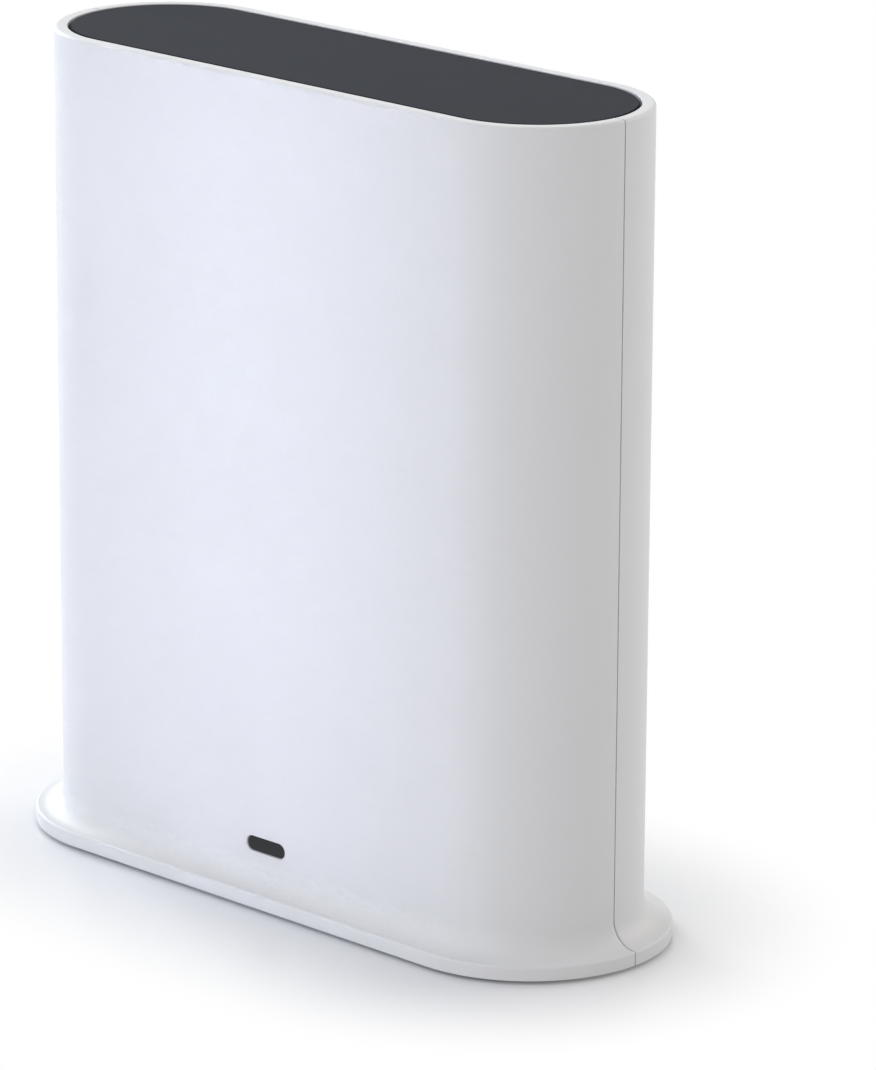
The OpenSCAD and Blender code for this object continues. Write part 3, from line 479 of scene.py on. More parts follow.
def housing_places(sizes):
    """Radii and heights of the shells' section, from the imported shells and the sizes."""
    low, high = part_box("front_shell")
    at = SimpleNamespace(bottom=low.z, top=high.z, foot_r=-low.y)
    at.end_x = high.x - at.foot_r
    at.body_r = sizes.body_depth / 2
    at.inner_r = at.body_r - sizes.wall
    at.rim_r = at.body_r - sizes.rim_width
    at.base_r = at.foot_r - sizes.foot_wall
    at.foot_top = at.bottom + sizes.foot_edge_height
    at.flare_r = at.foot_r - at.body_r - sizes.foot_round
    at.flare_top = at.foot_top + at.flare_r
    at.base_top = at.bottom + sizes.base_thickness
    at.ledge_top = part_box("top_panel")[1].z - sizes.panel_thickness
    at.ledge_bottom = at.ledge_top - sizes.ledge_thickness
    return at


def section(inner_r, outer_r, low, high, x):
    """Starts a flat wall section across X, between two radii and two heights."""
    middle = (x, -(inner_r + outer_r) / 2, (low + high) / 2)
    return start(
        bpy.ops.mesh.primitive_plane_add, size=1, location=middle,
        rotation=(0, math.pi / 2, 0), scale=(high - low, outer_r - inner_r, 1),
    )


def turn(amount, x, steps):
    """Spins what is selected about the upright axis of a round end, anticlockwise from above."""
    # The spin tool itself counts clockwise
    bpy.ops.mesh.spin(steps=steps, angle=-amount, center=(x, 0, 0), axis=(0, 0, 1))


def shell_section(sizes, at):
    """Draws the shell's wall from foot to rim as one flat face with its round edges."""
    piece = section(at.inner_r, at.body_r, at.foot_top, at.ledge_bottom, at.end_x)
    pull_edges(level("z", at.ledge_bottom), (0, 0, sizes.ledge_thickness))
    pull_edges(
        lambda c: near(c.y, -at.inner_r) and c.z > at.ledge_bottom - NEAR, (0, sizes.ledge_width, 0)
    )
    pull_edges(
        lambda c: near(c.z, at.ledge_top) and c.y < -at.inner_r + NEAR, (0, 0, at.top - at.ledge_top)
    )
    pick("VERT", lambda c: near(c.y, -at.inner_r) and c.z > at.ledge_top - NEAR)
    bpy.ops.transform.translate(value=(0, at.inner_r - at.rim_r, 0))
    pull_edges(level("z", at.foot_top), (0, 0, at.base_top - at.foot_top))
    pull_edges(
        lambda c: near(c.y, -at.body_r) and c.z < at.foot_top + NEAR, (0, at.body_r - at.base_r, 0)
    )
    pull_edges(level("y", -at.base_r), (0, at.base_r - at.foot_r, 0))
    pull_edges(
        lambda c: near(c.z, at.base_top) and c.y < -at.base_r + NEAR, (0, 0, at.bottom - at.base_top)
    )
    pick("FACE", everywhere)
    bpy.ops.mesh.dissolve_faces()
    bpy.ops.mesh.select_all(action="SELECT")
    bpy.ops.mesh.dissolve_limited(angle_limit=FLAT)
    corners = (
        (at.body_r, at.foot_top, at.flare_r, 4 * EDGE_STEPS),
        (at.foot_r, at.foot_top, sizes.foot_round, EDGE_STEPS),
        (at.body_r, at.top, sizes.rim_round, EDGE_STEPS + 2),
        (at.rim_r, at.top, sizes.rim_chamfer, 2),
    )
    for radius, height, rounding, steps in corners:
        round_corners(lambda c: near(c.y, -radius) and near(c.z, height), rounding, steps)
        weld()
    return piece


def half_shell(sizes, at):
    """Sweeps the section round the front half of the body and softens its edges at the seam."""
    piece = shell_section(sizes, at)
    pick("FACE", everywhere)
    pull((-2 * at.end_x, 0, 0))
    turn(-math.pi / 2, -at.end_x, BODY_STEPS)
    pick("FACE", lambda c: near(c.x, at.end_x) and c.y < 0)
    turn(math.pi / 2, at.end_x, BODY_STEPS)
    merge()
    seam_y = -sizes.seam_gap / 2
    bpy.ops.mesh.bisect(plane_co=(0, seam_y, 0), plane_no=(0, 1, 0), use_fill=True, clear_outer=True)
    merge()
    skin_x = at.end_x + at.body_r - NEAR
    rim_z = at.top - sizes.rim_round - NEAR
    soften(lambda c: near(c.y, seam_y) and (abs(c.x) > skin_x or c.z > rim_z), sizes.seam_round)
    return piece


def seam_strip(sizes, at, side, reach, thickness, clearance):
    """Models the tongue inside the seam at one end, from the rear shell towards the front."""
    low, high = at.flare_top - clearance, at.ledge_bottom - sizes.fit + clearance
    middle_r = at.inner_r + thickness / 2
    piece = start(
        bpy.ops.mesh.primitive_plane_add, size=1,
        location=(side * (at.end_x + middle_r), sizes.seam_gap / 2, (low + high) / 2),
        rotation=(math.pi / 2, 0, 0), scale=(thickness, high - low, 1),
    )
    pick("FACE", everywhere)
    turn(-side * reach / (at.inner_r + thickness), side * at.end_x, TONGUE_STEPS)
    merge()
    return piece


def post(radius, bore, centre, axis, height, bore_depth):
    """Models a screw post with its pilot hole, from its open end along Y or Z."""
    way = PULL_WAY[axis]
    piece = disc(radius, centre, axis, POST_SIDES)
    pull(way * height)
    merge()
    step_in(level(axis.lower(), way.dot(centre)), radius - bore, way * bore_depth)
    return piece


def shell_posts(sizes, ports, at, front):
    """Models the posts inside a shell: two for the base screws and, at the back, four for the board."""
    head = ports.screw_head_r
    bore = ports.screw_r + sizes.fit / 2
    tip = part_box("base_screws")[1]
    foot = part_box("base_plate")[1].z
    side_y = (tip.y - head) * (-1 if front else 1)
    depth = tip.z - foot
    made = []
    for side in (-1, 1):
        centre = Vector((side * (tip.x - head), side_y, foot))
        made.append(post(sizes.base_post_r, bore, centre, "Z", depth + sizes.base_post_end, depth))
    if front:
        return made
    low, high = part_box("board_screws")
    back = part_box("main_board")[1].y
    hole_x = high.x - head
    past_end = max(0, hole_x + sizes.post_r - at.end_x)
    wall_y = math.sqrt((at.inner_r + sizes.wall / 2) ** 2 - past_end ** 2)
    depth = high.y - back + sizes.fit
    for side in (-1, 1):
        for height in (low.z + head, high.z - head):
            centre = Vector((side * hole_x, back, height))
            made.append(post(sizes.post_r, bore, centre, "Y", wall_y - back, depth))
    return made


def make_front_shell(sizes, ports):
    """Front half of the housing, with the slot for the status window."""
    at = housing_places(sizes)
    piece = half_shell(sizes, at)
    for side in (-1, 1):
        groove = seam_strip(
            sizes, at, side, sizes.tongue_reach + sizes.fit + sizes.seam_gap,
            sizes.tongue_thickness + sizes.fit, sizes.fit,
        )
        cut(piece, groove)
    low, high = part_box("status_window")
    middle = (low + high) / 2
    slot = prism(
        sizes.window_length, sizes.window_height, sizes.window_height / 2,
        (0, -at.body_r - PAST, middle.z), sizes.wall + 2 * PAST, 3 * EDGE_STEPS,
    )
    cut(piece, slot)
    half_length = sizes.window_length / 2 + NEAR
    half_height = sizes.window_height / 2 + NEAR
    soften(within(-at.body_r, middle, half_length, half_height), sizes.slot_round, steps=3)
    join(piece, shell_posts(sizes, ports, at, True))
    hand_over(piece, "front_shell_moulding", "front_shell")


def make_rear_shell(sizes, ports):
    """Rear half of the housing, with the opening for the port tray and the tongue of the seam."""
    at = housing_places(sizes)
    piece = half_shell(sizes, at)
    bpy.ops.mesh.select_all(action="SELECT")
    bpy.ops.transform.rotate(value=math.pi, orient_axis="Z", center_override=(0, 0, 0))
    low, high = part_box("port_tray")
    middle = (low + high) / 2
    gap = sizes.fit - ports.tray_flange
    width, height = high.x - low.x + 2 * gap, high.z - low.z + 2 * gap
    opening = prism(
        width, height, ports.bay_corner + ports.bay_wall + sizes.fit,
        (middle.x, at.inner_r - PAST, middle.z), sizes.wall + 2 * PAST, 2 * EDGE_STEPS,
    )
    cut(piece, opening)
    soften(within(at.body_r, middle, width / 2 + NEAR, height / 2 + NEAR), sizes.slot_round, steps=3)
    strips = [
        seam_strip(sizes, at, side, sizes.tongue_reach + sizes.seam_gap / 2, sizes.tongue_thickness, 0)
        for side in (-1, 1)
    ]
    join(piece, strips + shell_posts(sizes, ports, at, False))
    hand_over(piece, "rear_shell_moulding", "rear_shell")


def make_status_lens(sizes):
    """Pill-shaped lens with a soft edge, on the flange that holds it behind the wall."""
    low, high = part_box("status_window")
    middle = (low + high) / 2
    width, height = high.x - low.x, high.z - low.z
    flange_y = high.y - sizes.window_flange_thickness
    piece = plate(width, height, height / 2, (middle.x, high.y, middle.z), 1, 3 * EDGE_STEPS)
    pull((0, flange_y - high.y, 0))
    merge()
    step_in(level("y", flange_y), sizes.window_flange + sizes.fit, (0, low.y - flange_y, 0))
    soften(level("y", low.y), sizes.lens_round, steps=4)
    hand_over(piece, "status_lens", "status_window")


def make_foot_ring(sizes):
    """Rubber ring under the foot, with round lower edges."""
    at = housing_places(sizes)
    low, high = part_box("rubber_foot")
    piece = section(high.y - sizes.pad_width, high.y, low.z, high.z, at.end_x)
    round_corners(level("z", low.z), sizes.pad_round, EDGE_STEPS)
    pick("FACE", everywhere)
    for side in (-1, 1):
        pull((side * 2 * at.end_x, 0, 0))
        turn(-math.pi, side * at.end_x, 2 * BODY_STEPS)
    pick("FACE", lambda c: near(c.x, at.end_x) and c.y < 0)
    bpy.ops.mesh.delete(type="ONLY_FACE")
    merge()
    hand_over(piece, "foot_ring", "rubber_foot")


def make_base_screws(ports):
    """Four pan head screws with a cross recess, one mesh for the set."""
    low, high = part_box("base_screws")
    head_r, head = ports.screw_head_r, ports.screw_head
    piece = disc(head_r, (0, 0, low.z), "Z", ROD_SIDES)
    pull((0, 0, head))
    merge()
    step_in(level("z", low.z + head), head_r - ports.screw_r, (0, 0, high.z - low.z - head))
    soften(level("z", low.z), HEAD_ROUND * head, EDGE_STEPS)
    soften(level("z", high.z), TIP_ROUND * ports.screw_r, steps=3)
    for turned in (0, math.pi / 2):
        arm = start(
            bpy.ops.mesh.primitive_cube_add, size=1, location=(0, 0, low.z),
            rotation=(0, 0, turned), scale=(CROSS_SPAN * head_r, ports.cross_width, head),
        )
        pick("FACE", lambda c: c.z > low.z)
        bpy.ops.transform.resize(value=(CROSS_TAPER, CROSS_TAPER, 1), center_override=(0, 0, low.z))
        cut(piece, arm)
    close()
    screws = []
    for x in (low.x + head_r, high.x - head_r):
        for y in (low.y + head_r, high.y - head_r):
            screw = piece.copy()
            screw.data = piece.data.copy()
            screw.data.transform(Matrix.Translation((x, y, 0)))
            bpy.context.collection.objects.link(screw)
            screws.append(screw)
    bpy.data.objects.remove(piece)
    join(screws[0], screws[1:])
    hand_over(screws[0], "base_screw_set", "base_screws")


# The port bay

def make_port_tray(sizes, ports):
    """Tray let into the back: flange, soft rim, bay with a filleted floor and the socket cut-outs."""
    at = housing_places(sizes)
    low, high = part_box("port_tray")
    middle = (low + high) / 2
    flange = ports.tray_flange
    width, height = high.x - low.x - 2 * flange, high.z - low.z - 2 * flange
    corner = ports.bay_corner + ports.bay_wall
    floor_y = at.body_r - ports.bay_depth
    flange_y = at.inner_r - ports.tray_flange_thickness
    piece = plate(width, height, corner, (middle.x, low.y, middle.z), -1, 2 * EDGE_STEPS)
    for begin, end in ((low.y, flange_y), (flange_y, at.inner_r), (at.inner_r, high.y)):
        pull((0, end - begin, 0))
    merge()
    pick("FACE", lambda c: flange_y - NEAR < c.y < at.inner_r + NEAR)
    bpy.ops.mesh.extrude_region_shrink_fatten(TRANSFORM_OT_shrink_fatten={"value": flange})
    step_in(level("y", high.y), ports.bay_wall, (0, floor_y - high.y, 0))
    soften(level("y", high.y), ports.edge_round, steps=3)
    bay_x, bay_z = width / 2 - ports.bay_wall, height / 2 - ports.bay_wall
    soften(within(floor_y, middle, bay_x + NEAR, bay_z + NEAR), ports.bay_fillet, steps=4)
    depth = ports.bay_wall + 2 * PAST
    for node in ("power_jack", "ethernet_jack", "usb_port"):
        node_low, node_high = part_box(node)
        centre = (node_low + node_high) / 2
        hole = prism(
            node_high.x - node_low.x + 2 * ports.port_gap, node_high.z - node_low.z + 2 * ports.port_gap,
            ports.port_gap, (centre.x, low.y - PAST, centre.z), depth,
        )
        cut(piece, hole)
    for node, grow in (("sync_button", ports.sync_gap - ports.sync_flange), ("reset_plunger", None)):
        node_low, node_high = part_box(node)
        centre = (node_low + node_high) / 2
        radius = ports.pinhole_r if grow is None else (node_high.x - node_low.x) / 2 + grow
        cut(piece, rod(radius, (centre.x, low.y - PAST, centre.z), depth))
    flat_x, flat_z = bay_x - ports.bay_fillet - NEAR, bay_z - ports.bay_fillet - NEAR
    soften(within(floor_y, middle, flat_x, flat_z), ports.hole_round)
    hand_over(piece, "port_tray_moulding", "port_tray")


def make_sockets(ports):
    """Network, power and storage sockets, with chamfered mouths."""
    low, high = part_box("ethernet_jack")
    middle = (low + high) / 2
    jack = block(low, high)
    back = low.y + ports.plug_back
    depth = high.y - back + PAST
    top = high.z - ports.plug_roof
    plug_z = top - ports.plug_height / 2
    latch_z = top - ports.plug_height - ports.latch_height / 2
    cut(jack, prism(ports.plug_width, ports.plug_height, 0, (middle.x, back, plug_z), depth))
    # The notch runs up into the plug's opening
    notch_height = ports.latch_height + 2 * PAST
    cut(jack, prism(ports.latch_width, notch_height, 0, (middle.x, back, latch_z + PAST), depth))
    soften(level("y", high.y), ports.mouth_chamfer)
    hand_over(jack, "network_jack", "ethernet_jack")

    low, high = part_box("power_jack")
    middle = (low + high) / 2
    jack = block(low, high)
    back = low.y + ports.power_back
    cut(jack, rod(ports.power_bore_r, (middle.x, back, middle.z), high.y - back + PAST))
    soften(level("y", high.y), ports.mouth_chamfer)
    hand_over(jack, "power_inlet", "power_jack")

    low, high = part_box("usb_port")
    sleeve = block(low, high, ports.usb_corner)
    sheet = Vector((ports.usb_sheet, -PAST, ports.usb_sheet))
    cut(sleeve, block(low + sheet, high - sheet, ports.usb_corner - ports.usb_sheet))
    soften(level("y", high.y), ports.usb_round)
    hand_over(sleeve, "storage_sleeve", "usb_port")


def make_sync_cap(ports):
    """Round push button with a finger dish and the flange that keeps it in."""
    low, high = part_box("sync_button")
    middle = (low + high) / 2
    flange_r = (high.x - low.x) / 2
    flange_y = low.y + ports.sync_flange_thickness
    piece = disc(flange_r, (middle.x, low.y, middle.z), "Y", BUTTON_SIDES)
    pull((0, flange_y - low.y, 0))
    merge()
    step_in(level("y", flange_y), ports.sync_flange, (0, high.y - flange_y, 0))
    soften(level("y", high.y), ports.sync_round, EDGE_STEPS)
    pick("FACE", level("y", high.y))
    cap_r = flange_r - ports.sync_flange - ports.sync_round
    for ring in range(1, DISH_RINGS):
        # The dish grows steeper to half way in and then levels out, so all drops add up to its depth
        share = ring / DISH_RINGS
        drop = 4 * min(share, 1 - share) * ports.dish_depth / DISH_RINGS
        bpy.ops.mesh.inset(thickness=cap_r / DISH_RINGS, depth=-drop)
    hand_over(piece, "sync_cap", "sync_button")


# Finishes

# Sizes in millimetres of the flow marks and the sheen patches of mouldings, and of the haze on metals
FLOW_MM = 26
SHEEN_MM = 7
HAZE_MM = 4
# How much darker and lighter than the colour the flow marks and the haze are
FLOW_TONES = 0.985, 1.015
HAZE_TONES = 0.92, 1.05
# How much rougher and smoother the lines on metals are
LINE_SPREAD = 0.08
# Upward part of a face's normal up to which the face is a side that takes the painted shade, and from
# which it is a top
SIDE_UP, TOP_UP = 0.85, 0.98


def per(millimetres):
    """Texture scale whose features are about this many millimetres across."""
    return 1 / (millimetres * MM)


def add(material, kind, inputs=None, **settings):
    """Adds a node, sets its options, and fills its sockets with values or links."""
    tree = material.node_tree
    made = tree.nodes.new(kind)
    for name, value in settings.items():
        setattr(made, name, value)
    for name, value in (inputs or {}).items():
        if isinstance(value, bpy.types.NodeSocket):
            tree.links.new(value, made.inputs[name])
        else:
            made.inputs[name].default_value = value
    return made


def new_finish(name):
    """An empty material with nodes."""
    material = bpy.data.materials.new(name)
    material.use_nodes = True
    material.node_tree.nodes.clear()
    return material


def solid(colour):
    """A colour with full opacity."""
    return (*colour, 1)


def shade(colour, share):
    """The same colour, lighter or darker by a share."""
    return solid([min(1, c * share) for c in colour])


def moulded_plastic(name, colour, roughness, grain_mm, grain_depth_mm, ior=1.53, spread=0.03, sides=None):
    """Moulded plastic: even colour, faint flow marks and a fine grain. Its sides may take a darker colour
    as painted shade.
    """
    m = new_finish(name)
    place = add(m, "ShaderNodeTexCoord").outputs["Object"]
    flow = add(m, "ShaderNodeTexNoise", {"Vector": place, "Scale": per(FLOW_MM), "Detail": 3})
    dark, light = FLOW_TONES
    tone = add(m, "ShaderNodeMixRGB", {
        "Fac": flow.outputs["Fac"], "Color1": shade(colour, dark), "Color2": shade(colour, light)})
    # Painted shade: faces that look sideways take the side colour, which stands in for the shadow in a
    # gap around the piece
    if sides is not None:
        facing = add(m, "ShaderNodeTexCoord").outputs["Normal"]
        upward = add(m, "ShaderNodeSeparateXYZ", {"Vector": facing}).outputs["Z"]
        on_top = add(m, "ShaderNodeMapRange", {"Value": upward, "From Min": SIDE_UP, "From Max": TOP_UP})
        tone = add(m, "ShaderNodeMixRGB", {
            "Fac": on_top.outputs["Result"], "Color1": solid(sides), "Color2": tone.outputs["Color"]})
    sheen = add(m, "ShaderNodeTexNoise", {"Vector": place, "Scale": per(SHEEN_MM), "Detail": 4})
    gloss = add(m, "ShaderNodeMapRange", {
        "Value": sheen.outputs["Fac"], "To Min": roughness - spread, "To Max": roughness + spread})
    # A mould's real grain is finer than a tenth of a millimetre: it is drawn coarser, so that it shows
    grain = add(m, "ShaderNodeTexNoise", {"Vector": place, "Scale": per(grain_mm), "Detail": 2})
    bump = add(m, "ShaderNodeBump", {
        "Height": grain.outputs["Fac"], "Distance": grain_depth_mm * MM, "Strength": 1.0})
    skin = add(m, "ShaderNodeBsdfPrincipled", {
        "Base Color": tone.outputs["Color"], "Roughness": gloss.outputs["Result"],
        "Normal": bump.outputs["Normal"], "IOR": ior})
    add(m, "ShaderNodeOutputMaterial", {"Surface": skin.outputs["BSDF"]})
    return m


def white_abs(colours):
    """White ABS from a finely polished mould: soft, even sheen with hardly any grain."""
    return moulded_plastic(
        "moulded_white_abs", colours.shell, roughness=0.42, grain_mm=0.4, grain_depth_mm=0.002, ior=1.4)


def charcoal_abs(colours):
    """Black ABS from a spark-eroded mould with a fine even grain: its top is dark grey, and its sides are
    painted near black as shade for the gap around the panel.
    """
    return moulded_plastic(
        "eroded_charcoal_abs", colours.panel, roughness=0.85, grain_mm=0.35, grain_depth_mm=0.006,
        ior=1.25, sides=colours.panel_side_shade)


def grey_abs(colours):
    """Pale grey ABS from a spark-eroded mould: duller than the shells."""
    return moulded_plastic(
        "eroded_grey_abs", colours.base, roughness=0.48, grain_mm=0.4, grain_depth_mm=0.006)


def button_abs(colours):
    """Grey ABS of the button, slightly worn smooth."""
    return moulded_plastic(
        "moulded_button_abs", colours.button, roughness=0.38, grain_mm=0.4, grain_depth_mm=0.004)


def smoked_acrylic(colours):
    """Smoked acrylic lens: nearly black, with a clear gloss over it."""
    return moulded_plastic(
        "smoked_acrylic", colours.lens, roughness=0.16, grain_mm=1.2, grain_depth_mm=0.001, ior=1.42)


def socket_pbt(colours):
    """Black glass-filled PBT: dull and finely rough."""
    return moulded_plastic(
        "black_pbt", colours.socket, roughness=0.5, grain_mm=0.3, grain_depth_mm=0.008, ior=1.55)


def stem_acetal(colours):
    """Coloured acetal of the switch stems: waxy."""
    return moulded_plastic(
        "red_acetal", colours.stem, roughness=0.4, grain_mm=0.5, grain_depth_mm=0.003, ior=1.48)


def chip_epoxy(colours):
    """Black epoxy of chips and switches: sandy and matt."""
    return moulded_plastic(
        "black_mould_epoxy", colours.chip, roughness=0.6, grain_mm=0.25, grain_depth_mm=0.01, ior=1.55)


def silicone_rubber(colours):
    """Black silicone rubber: matt, with a dusty bloom."""
    return moulded_plastic(
        "black_silicone_rubber", colours.rubber, roughness=0.75, grain_mm=0.6, grain_depth_mm=0.02,
        ior=1.41, spread=0.06)


def thermal_silicone(colours):
    """Grey filled silicone pad: matt and slightly lumpy."""
    return moulded_plastic(
        "filled_thermal_silicone", colours.thermal_pad, roughness=0.7, grain_mm=0.5, grain_depth_mm=0.03,
        ior=1.41)


def lead_sheath(colours):
    """Black sheath of the antenna leads: smooth and slightly waxy."""
    return moulded_plastic(
        "black_lead_sheath", colours.lead, roughness=0.42, grain_mm=0.4, grain_depth_mm=0.003, ior=1.4)


def ferrite(colours):
    """Pressed ferrite: dark grey and grainy."""
    return moulded_plastic(
        "pressed_ferrite", colours.ferrite, roughness=0.66, grain_mm=0.3, grain_depth_mm=0.02, ior=1.6)


def sleeve_film(colours):
    """Dark shrink sleeve of the capacitors: tight film with a low gloss."""
    return moulded_plastic(
        "shrink_sleeve", colours.capacitor, roughness=0.35, grain_mm=0.8, grain_depth_mm=0.004, ior=1.5)


def lamp_phosphor(colours):
    """Yellow phosphor gel of the lamp: cloudy, with an uneven gloss."""
    return moulded_plastic(
        "lamp_phosphor", colours.phosphor, roughness=0.3, grain_mm=0.3, grain_depth_mm=0.004, ior=1.41,
        spread=0.08)


def clear_acrylic(colours):
    """Clear acrylic light guide: frosted at its moulded skin."""
    frost_mm = 0.5
    m = new_finish("frosted_clear_acrylic")
    place = add(m, "ShaderNodeTexCoord").outputs["Object"]
    frost = add(m, "ShaderNodeTexNoise", {"Vector": place, "Scale": per(frost_mm), "Detail": 2})
    gloss = add(m, "ShaderNodeMapRange", {
        "Value": frost.outputs["Fac"], "To Min": 0.12, "To Max": 0.3})
    guide = add(m, "ShaderNodeBsdfPrincipled", {
        "Base Color": solid(colours.light_guide), "Roughness": gloss.outputs["Result"],
        "IOR": 1.49, "Transmission Weight": 0.9})
    add(m, "ShaderNodeOutputMaterial", {"Surface": guide.outputs["BSDF"]})
    return m


def worked_metal(name, colour, roughness, line_mm, line_depth_mm, stretch=(1, 1, 1)):
    """Bare metal with the drawn or rolled lines of its making; stretch runs them along one axis."""
    m = new_finish(name)
    place = add(m, "ShaderNodeTexCoord").outputs["Object"]
    along = add(m, "ShaderNodeMapping", {"Vector": place, "Scale": stretch})
    lines = add(m, "ShaderNodeTexNoise", {
        "Vector": along.outputs["Vector"], "Scale": per(line_mm), "Detail": 3})
    haze = add(m, "ShaderNodeTexNoise", {"Vector": place, "Scale": per(HAZE_MM), "Detail": 3})
    dark, light = HAZE_TONES
    tone = add(m, "ShaderNodeMixRGB", {
        "Fac": haze.outputs["Fac"], "Color1": shade(colour, dark), "Color2": shade(colour, light)})
    gloss = add(m, "ShaderNodeMapRange", {
        "Value": lines.outputs["Fac"],
        "To Min": roughness - LINE_SPREAD, "To Max": roughness + LINE_SPREAD})
    bump = add(m, "ShaderNodeBump", {
        "Height": lines.outputs["Fac"], "Distance": line_depth_mm * MM, "Strength": 1.0})
    skin = add(m, "ShaderNodeBsdfPrincipled", {
        "Base Color": tone.outputs["Color"], "Roughness": gloss.outputs["Result"],
        "Normal": bump.outputs["Normal"], "Metallic": 1.0})
    add(m, "ShaderNodeOutputMaterial", {"Surface": skin.outputs["BSDF"]})
    return m


def zinc_steel(colours):
    """Zinc plated steel of the screws: bright grey with a faint haze."""
    return worked_metal(
        "zinc_plated_steel", colours.steel, roughness=0.34, line_mm=0.4, line_depth_mm=0.003)


def tinned_sheet(colours):
    """Tinned steel sheet: rolled lines along its length."""
    return worked_metal(
        "rolled_tinned_sheet", colours.tin, roughness=0.3, line_mm=0.3, line_depth_mm=0.002,
        stretch=(0.1, 1, 1))


def extruded_aluminium(colours):
    """Extruded aluminium: straight die lines up the fins."""
    return worked_metal(
        "extruded_aluminium", colours.aluminium, roughness=0.38, line_mm=0.3, line_depth_mm=0.004,
        stretch=(1, 1, 0.04))


def gold_plate(colours):
    """Thin gold plate on the contacts: smooth and warm."""
    return worked_metal(
        "gold_plate", colours.gold, roughness=0.25, line_mm=0.3, line_depth_mm=0.001, stretch=(1, 0.2, 1))


def solder_mask(colours):
    """Green solder mask over copper: tracks show as paler lines, with tinned pads between them."""
    m = new_finish("green_solder_mask")
    place = add(m, "ShaderNodeTexCoord").outputs["Object"]
    # One unit of the patterns is a millimetre, and they lie in the upright board's plane
    upright = add(m, "ShaderNodeMapping", {
        "Vector": place, "Rotation": (math.pi / 2, 0, 0), "Scale": (per(1), per(1), per(1))})
    tracks = add(m, "ShaderNodeTexBrick", {
        "Vector": upright.outputs["Vector"], "Scale": 1.0, "Mortar Size": 0.18, "Mortar Smooth": 0.3,
        "Brick Width": 6.5, "Row Height": 1.3, "Color1": shade(colours.board, 0.8),
        "Color2": solid(colours.board), "Mortar": shade(colours.board, 1.7)},
        offset=0.37, offset_frequency=3, squash=0.6, squash_frequency=4)
    # Pads about 1.1 mm across, in cells of about 4.5 mm
    dots = add(m, "ShaderNodeTexVoronoi", {"Vector": upright.outputs["Vector"], "Scale": 0.22})
    pads = add(m, "ShaderNodeMath", {0: dots.outputs["Distance"], 1: 0.12}, operation="LESS_THAN")
    tone = add(m, "ShaderNodeMixRGB", {
        "Fac": pads.outputs["Value"], "Color1": tracks.outputs["Color"],
        "Color2": solid(colours.board_pad)})
    bump = add(m, "ShaderNodeBump", {
        "Height": tracks.outputs["Fac"], "Distance": 0.03 * MM, "Strength": 1.0})
    skin = add(m, "ShaderNodeBsdfPrincipled", {
        "Base Color": tone.outputs["Color"], "Roughness": 0.32, "Metallic": pads.outputs["Value"],
        "Normal": bump.outputs["Normal"], "IOR": 1.5})
    add(m, "ShaderNodeOutputMaterial", {"Surface": skin.outputs["BSDF"]})
    return m


FINISH_OF_SLOT = {
    "shell_plastic": white_abs,
    "panel_plastic": charcoal_abs,
    "base_plastic": grey_abs,
    "foot_rubber": silicone_rubber,
    "window_plastic": smoked_acrylic,
    "light_guide": clear_acrylic,
    "lamp": lamp_phosphor,
    "circuit_board": solder_mask,
    "chip": chip_epoxy,
    "steel": zinc_steel,
    "tinplate": tinned_sheet,
    "aluminium": extruded_aluminium,
    "gold_plate": gold_plate,
    "thermal_rubber": thermal_silicone,
    "socket_plastic": socket_pbt,
    "button_plastic": button_abs,
    "stem_plastic": stem_acetal,
    "capacitor_sleeve": sleeve_film,
    "ferrite": ferrite,
    "lead_sheath": lead_sheath,
}


# The stage

# Points that the lamps shine on: the body's middle, and the bright place on its front
BODY_MIDDLE = (0, 0, 0.06)
FRONT_GLOW = (-0.006, -0.018, 0.08)
# Each lamp's power setting, place, point that it shines on, width and height, and colour
LAMPS = {
    "side_softbox": ("side_power", (-1.2, -0.7, 0.35), BODY_MIDDLE, (0.4, 0.6), "97C7FF"),
    "glow_strip": ("glow_power", (-0.35, -1.15, 0.3), FRONT_GLOW, (0.03, 0.16), "DEE8FF"),
    "edge_softbox": ("edge_power", (-1.2, 0.3, 0.5), BODY_MIDDLE, (0.4, 1.0), "F1FBFF"),
    "top_softbox": ("top_power", (-0.5, -0.8, 1.3), BODY_MIDDLE, (0.9, 0.9), "D8E7FF"),
    "back_softbox": ("back_power", (0.35, 1.3, 0.75), BODY_MIDDLE, (1.0, 1.0), "FFFDFA"),
}
# Direction in which the room light is weakest, and cosine of the angle to it at which it starts to weaken
DIM_WAY = Vector((0.5, 0.4, 0.77)).normalized()
DIM_START = 0.3
# Side of the floor in metres, and width of the camera's sensor in millimetres
FLOOR_SIZE = 8
SENSOR_MM = 36
WHITE = (1, 1, 1, 1)


def lamp(name, place, target, size, watts, code):
    """Adds a soft box of a given width and height that shines on a point."""
    bpy.ops.object.light_add(type="AREA", location=place)
    light = bpy.context.object
    light.name = name
    light.data.shape = "RECTANGLE"
    light.data.size, light.data.size_y = size
    light.data.energy = watts
    light.data.color = linear(code)
    light.rotation_euler = (Vector(target) - light.location).to_track_quat("-Z", "Y").to_euler()
    return light


def make_camera(stage):
    """Camera at the photograph's viewing angle."""
    a, e, roll = stage.azimuth, stage.elevation, stage.roll
    back = Vector((math.sin(a) * math.cos(e), -math.cos(a) * math.cos(e), math.sin(e)))
    right = Vector((math.cos(a), math.sin(a), 0))
    up = back.cross(right)
    tilted_right = math.cos(roll) * right + math.sin(roll) * up
    tilted_up = math.cos(roll) * up - math.sin(roll) * right
    axes = Matrix((tilted_right, tilted_up, back)).transposed().to_4x4()
    target = Vector((stage.target_x, 0, stage.target_z))
    bpy.ops.object.camera_add()
    camera = bpy.context.object
    camera.matrix_world = Matrix.Translation(target + back * stage.distance) @ axes
    camera.data.lens = stage.lens
    camera.data.sensor_width = SENSOR_MM
    bpy.context.scene.camera = camera


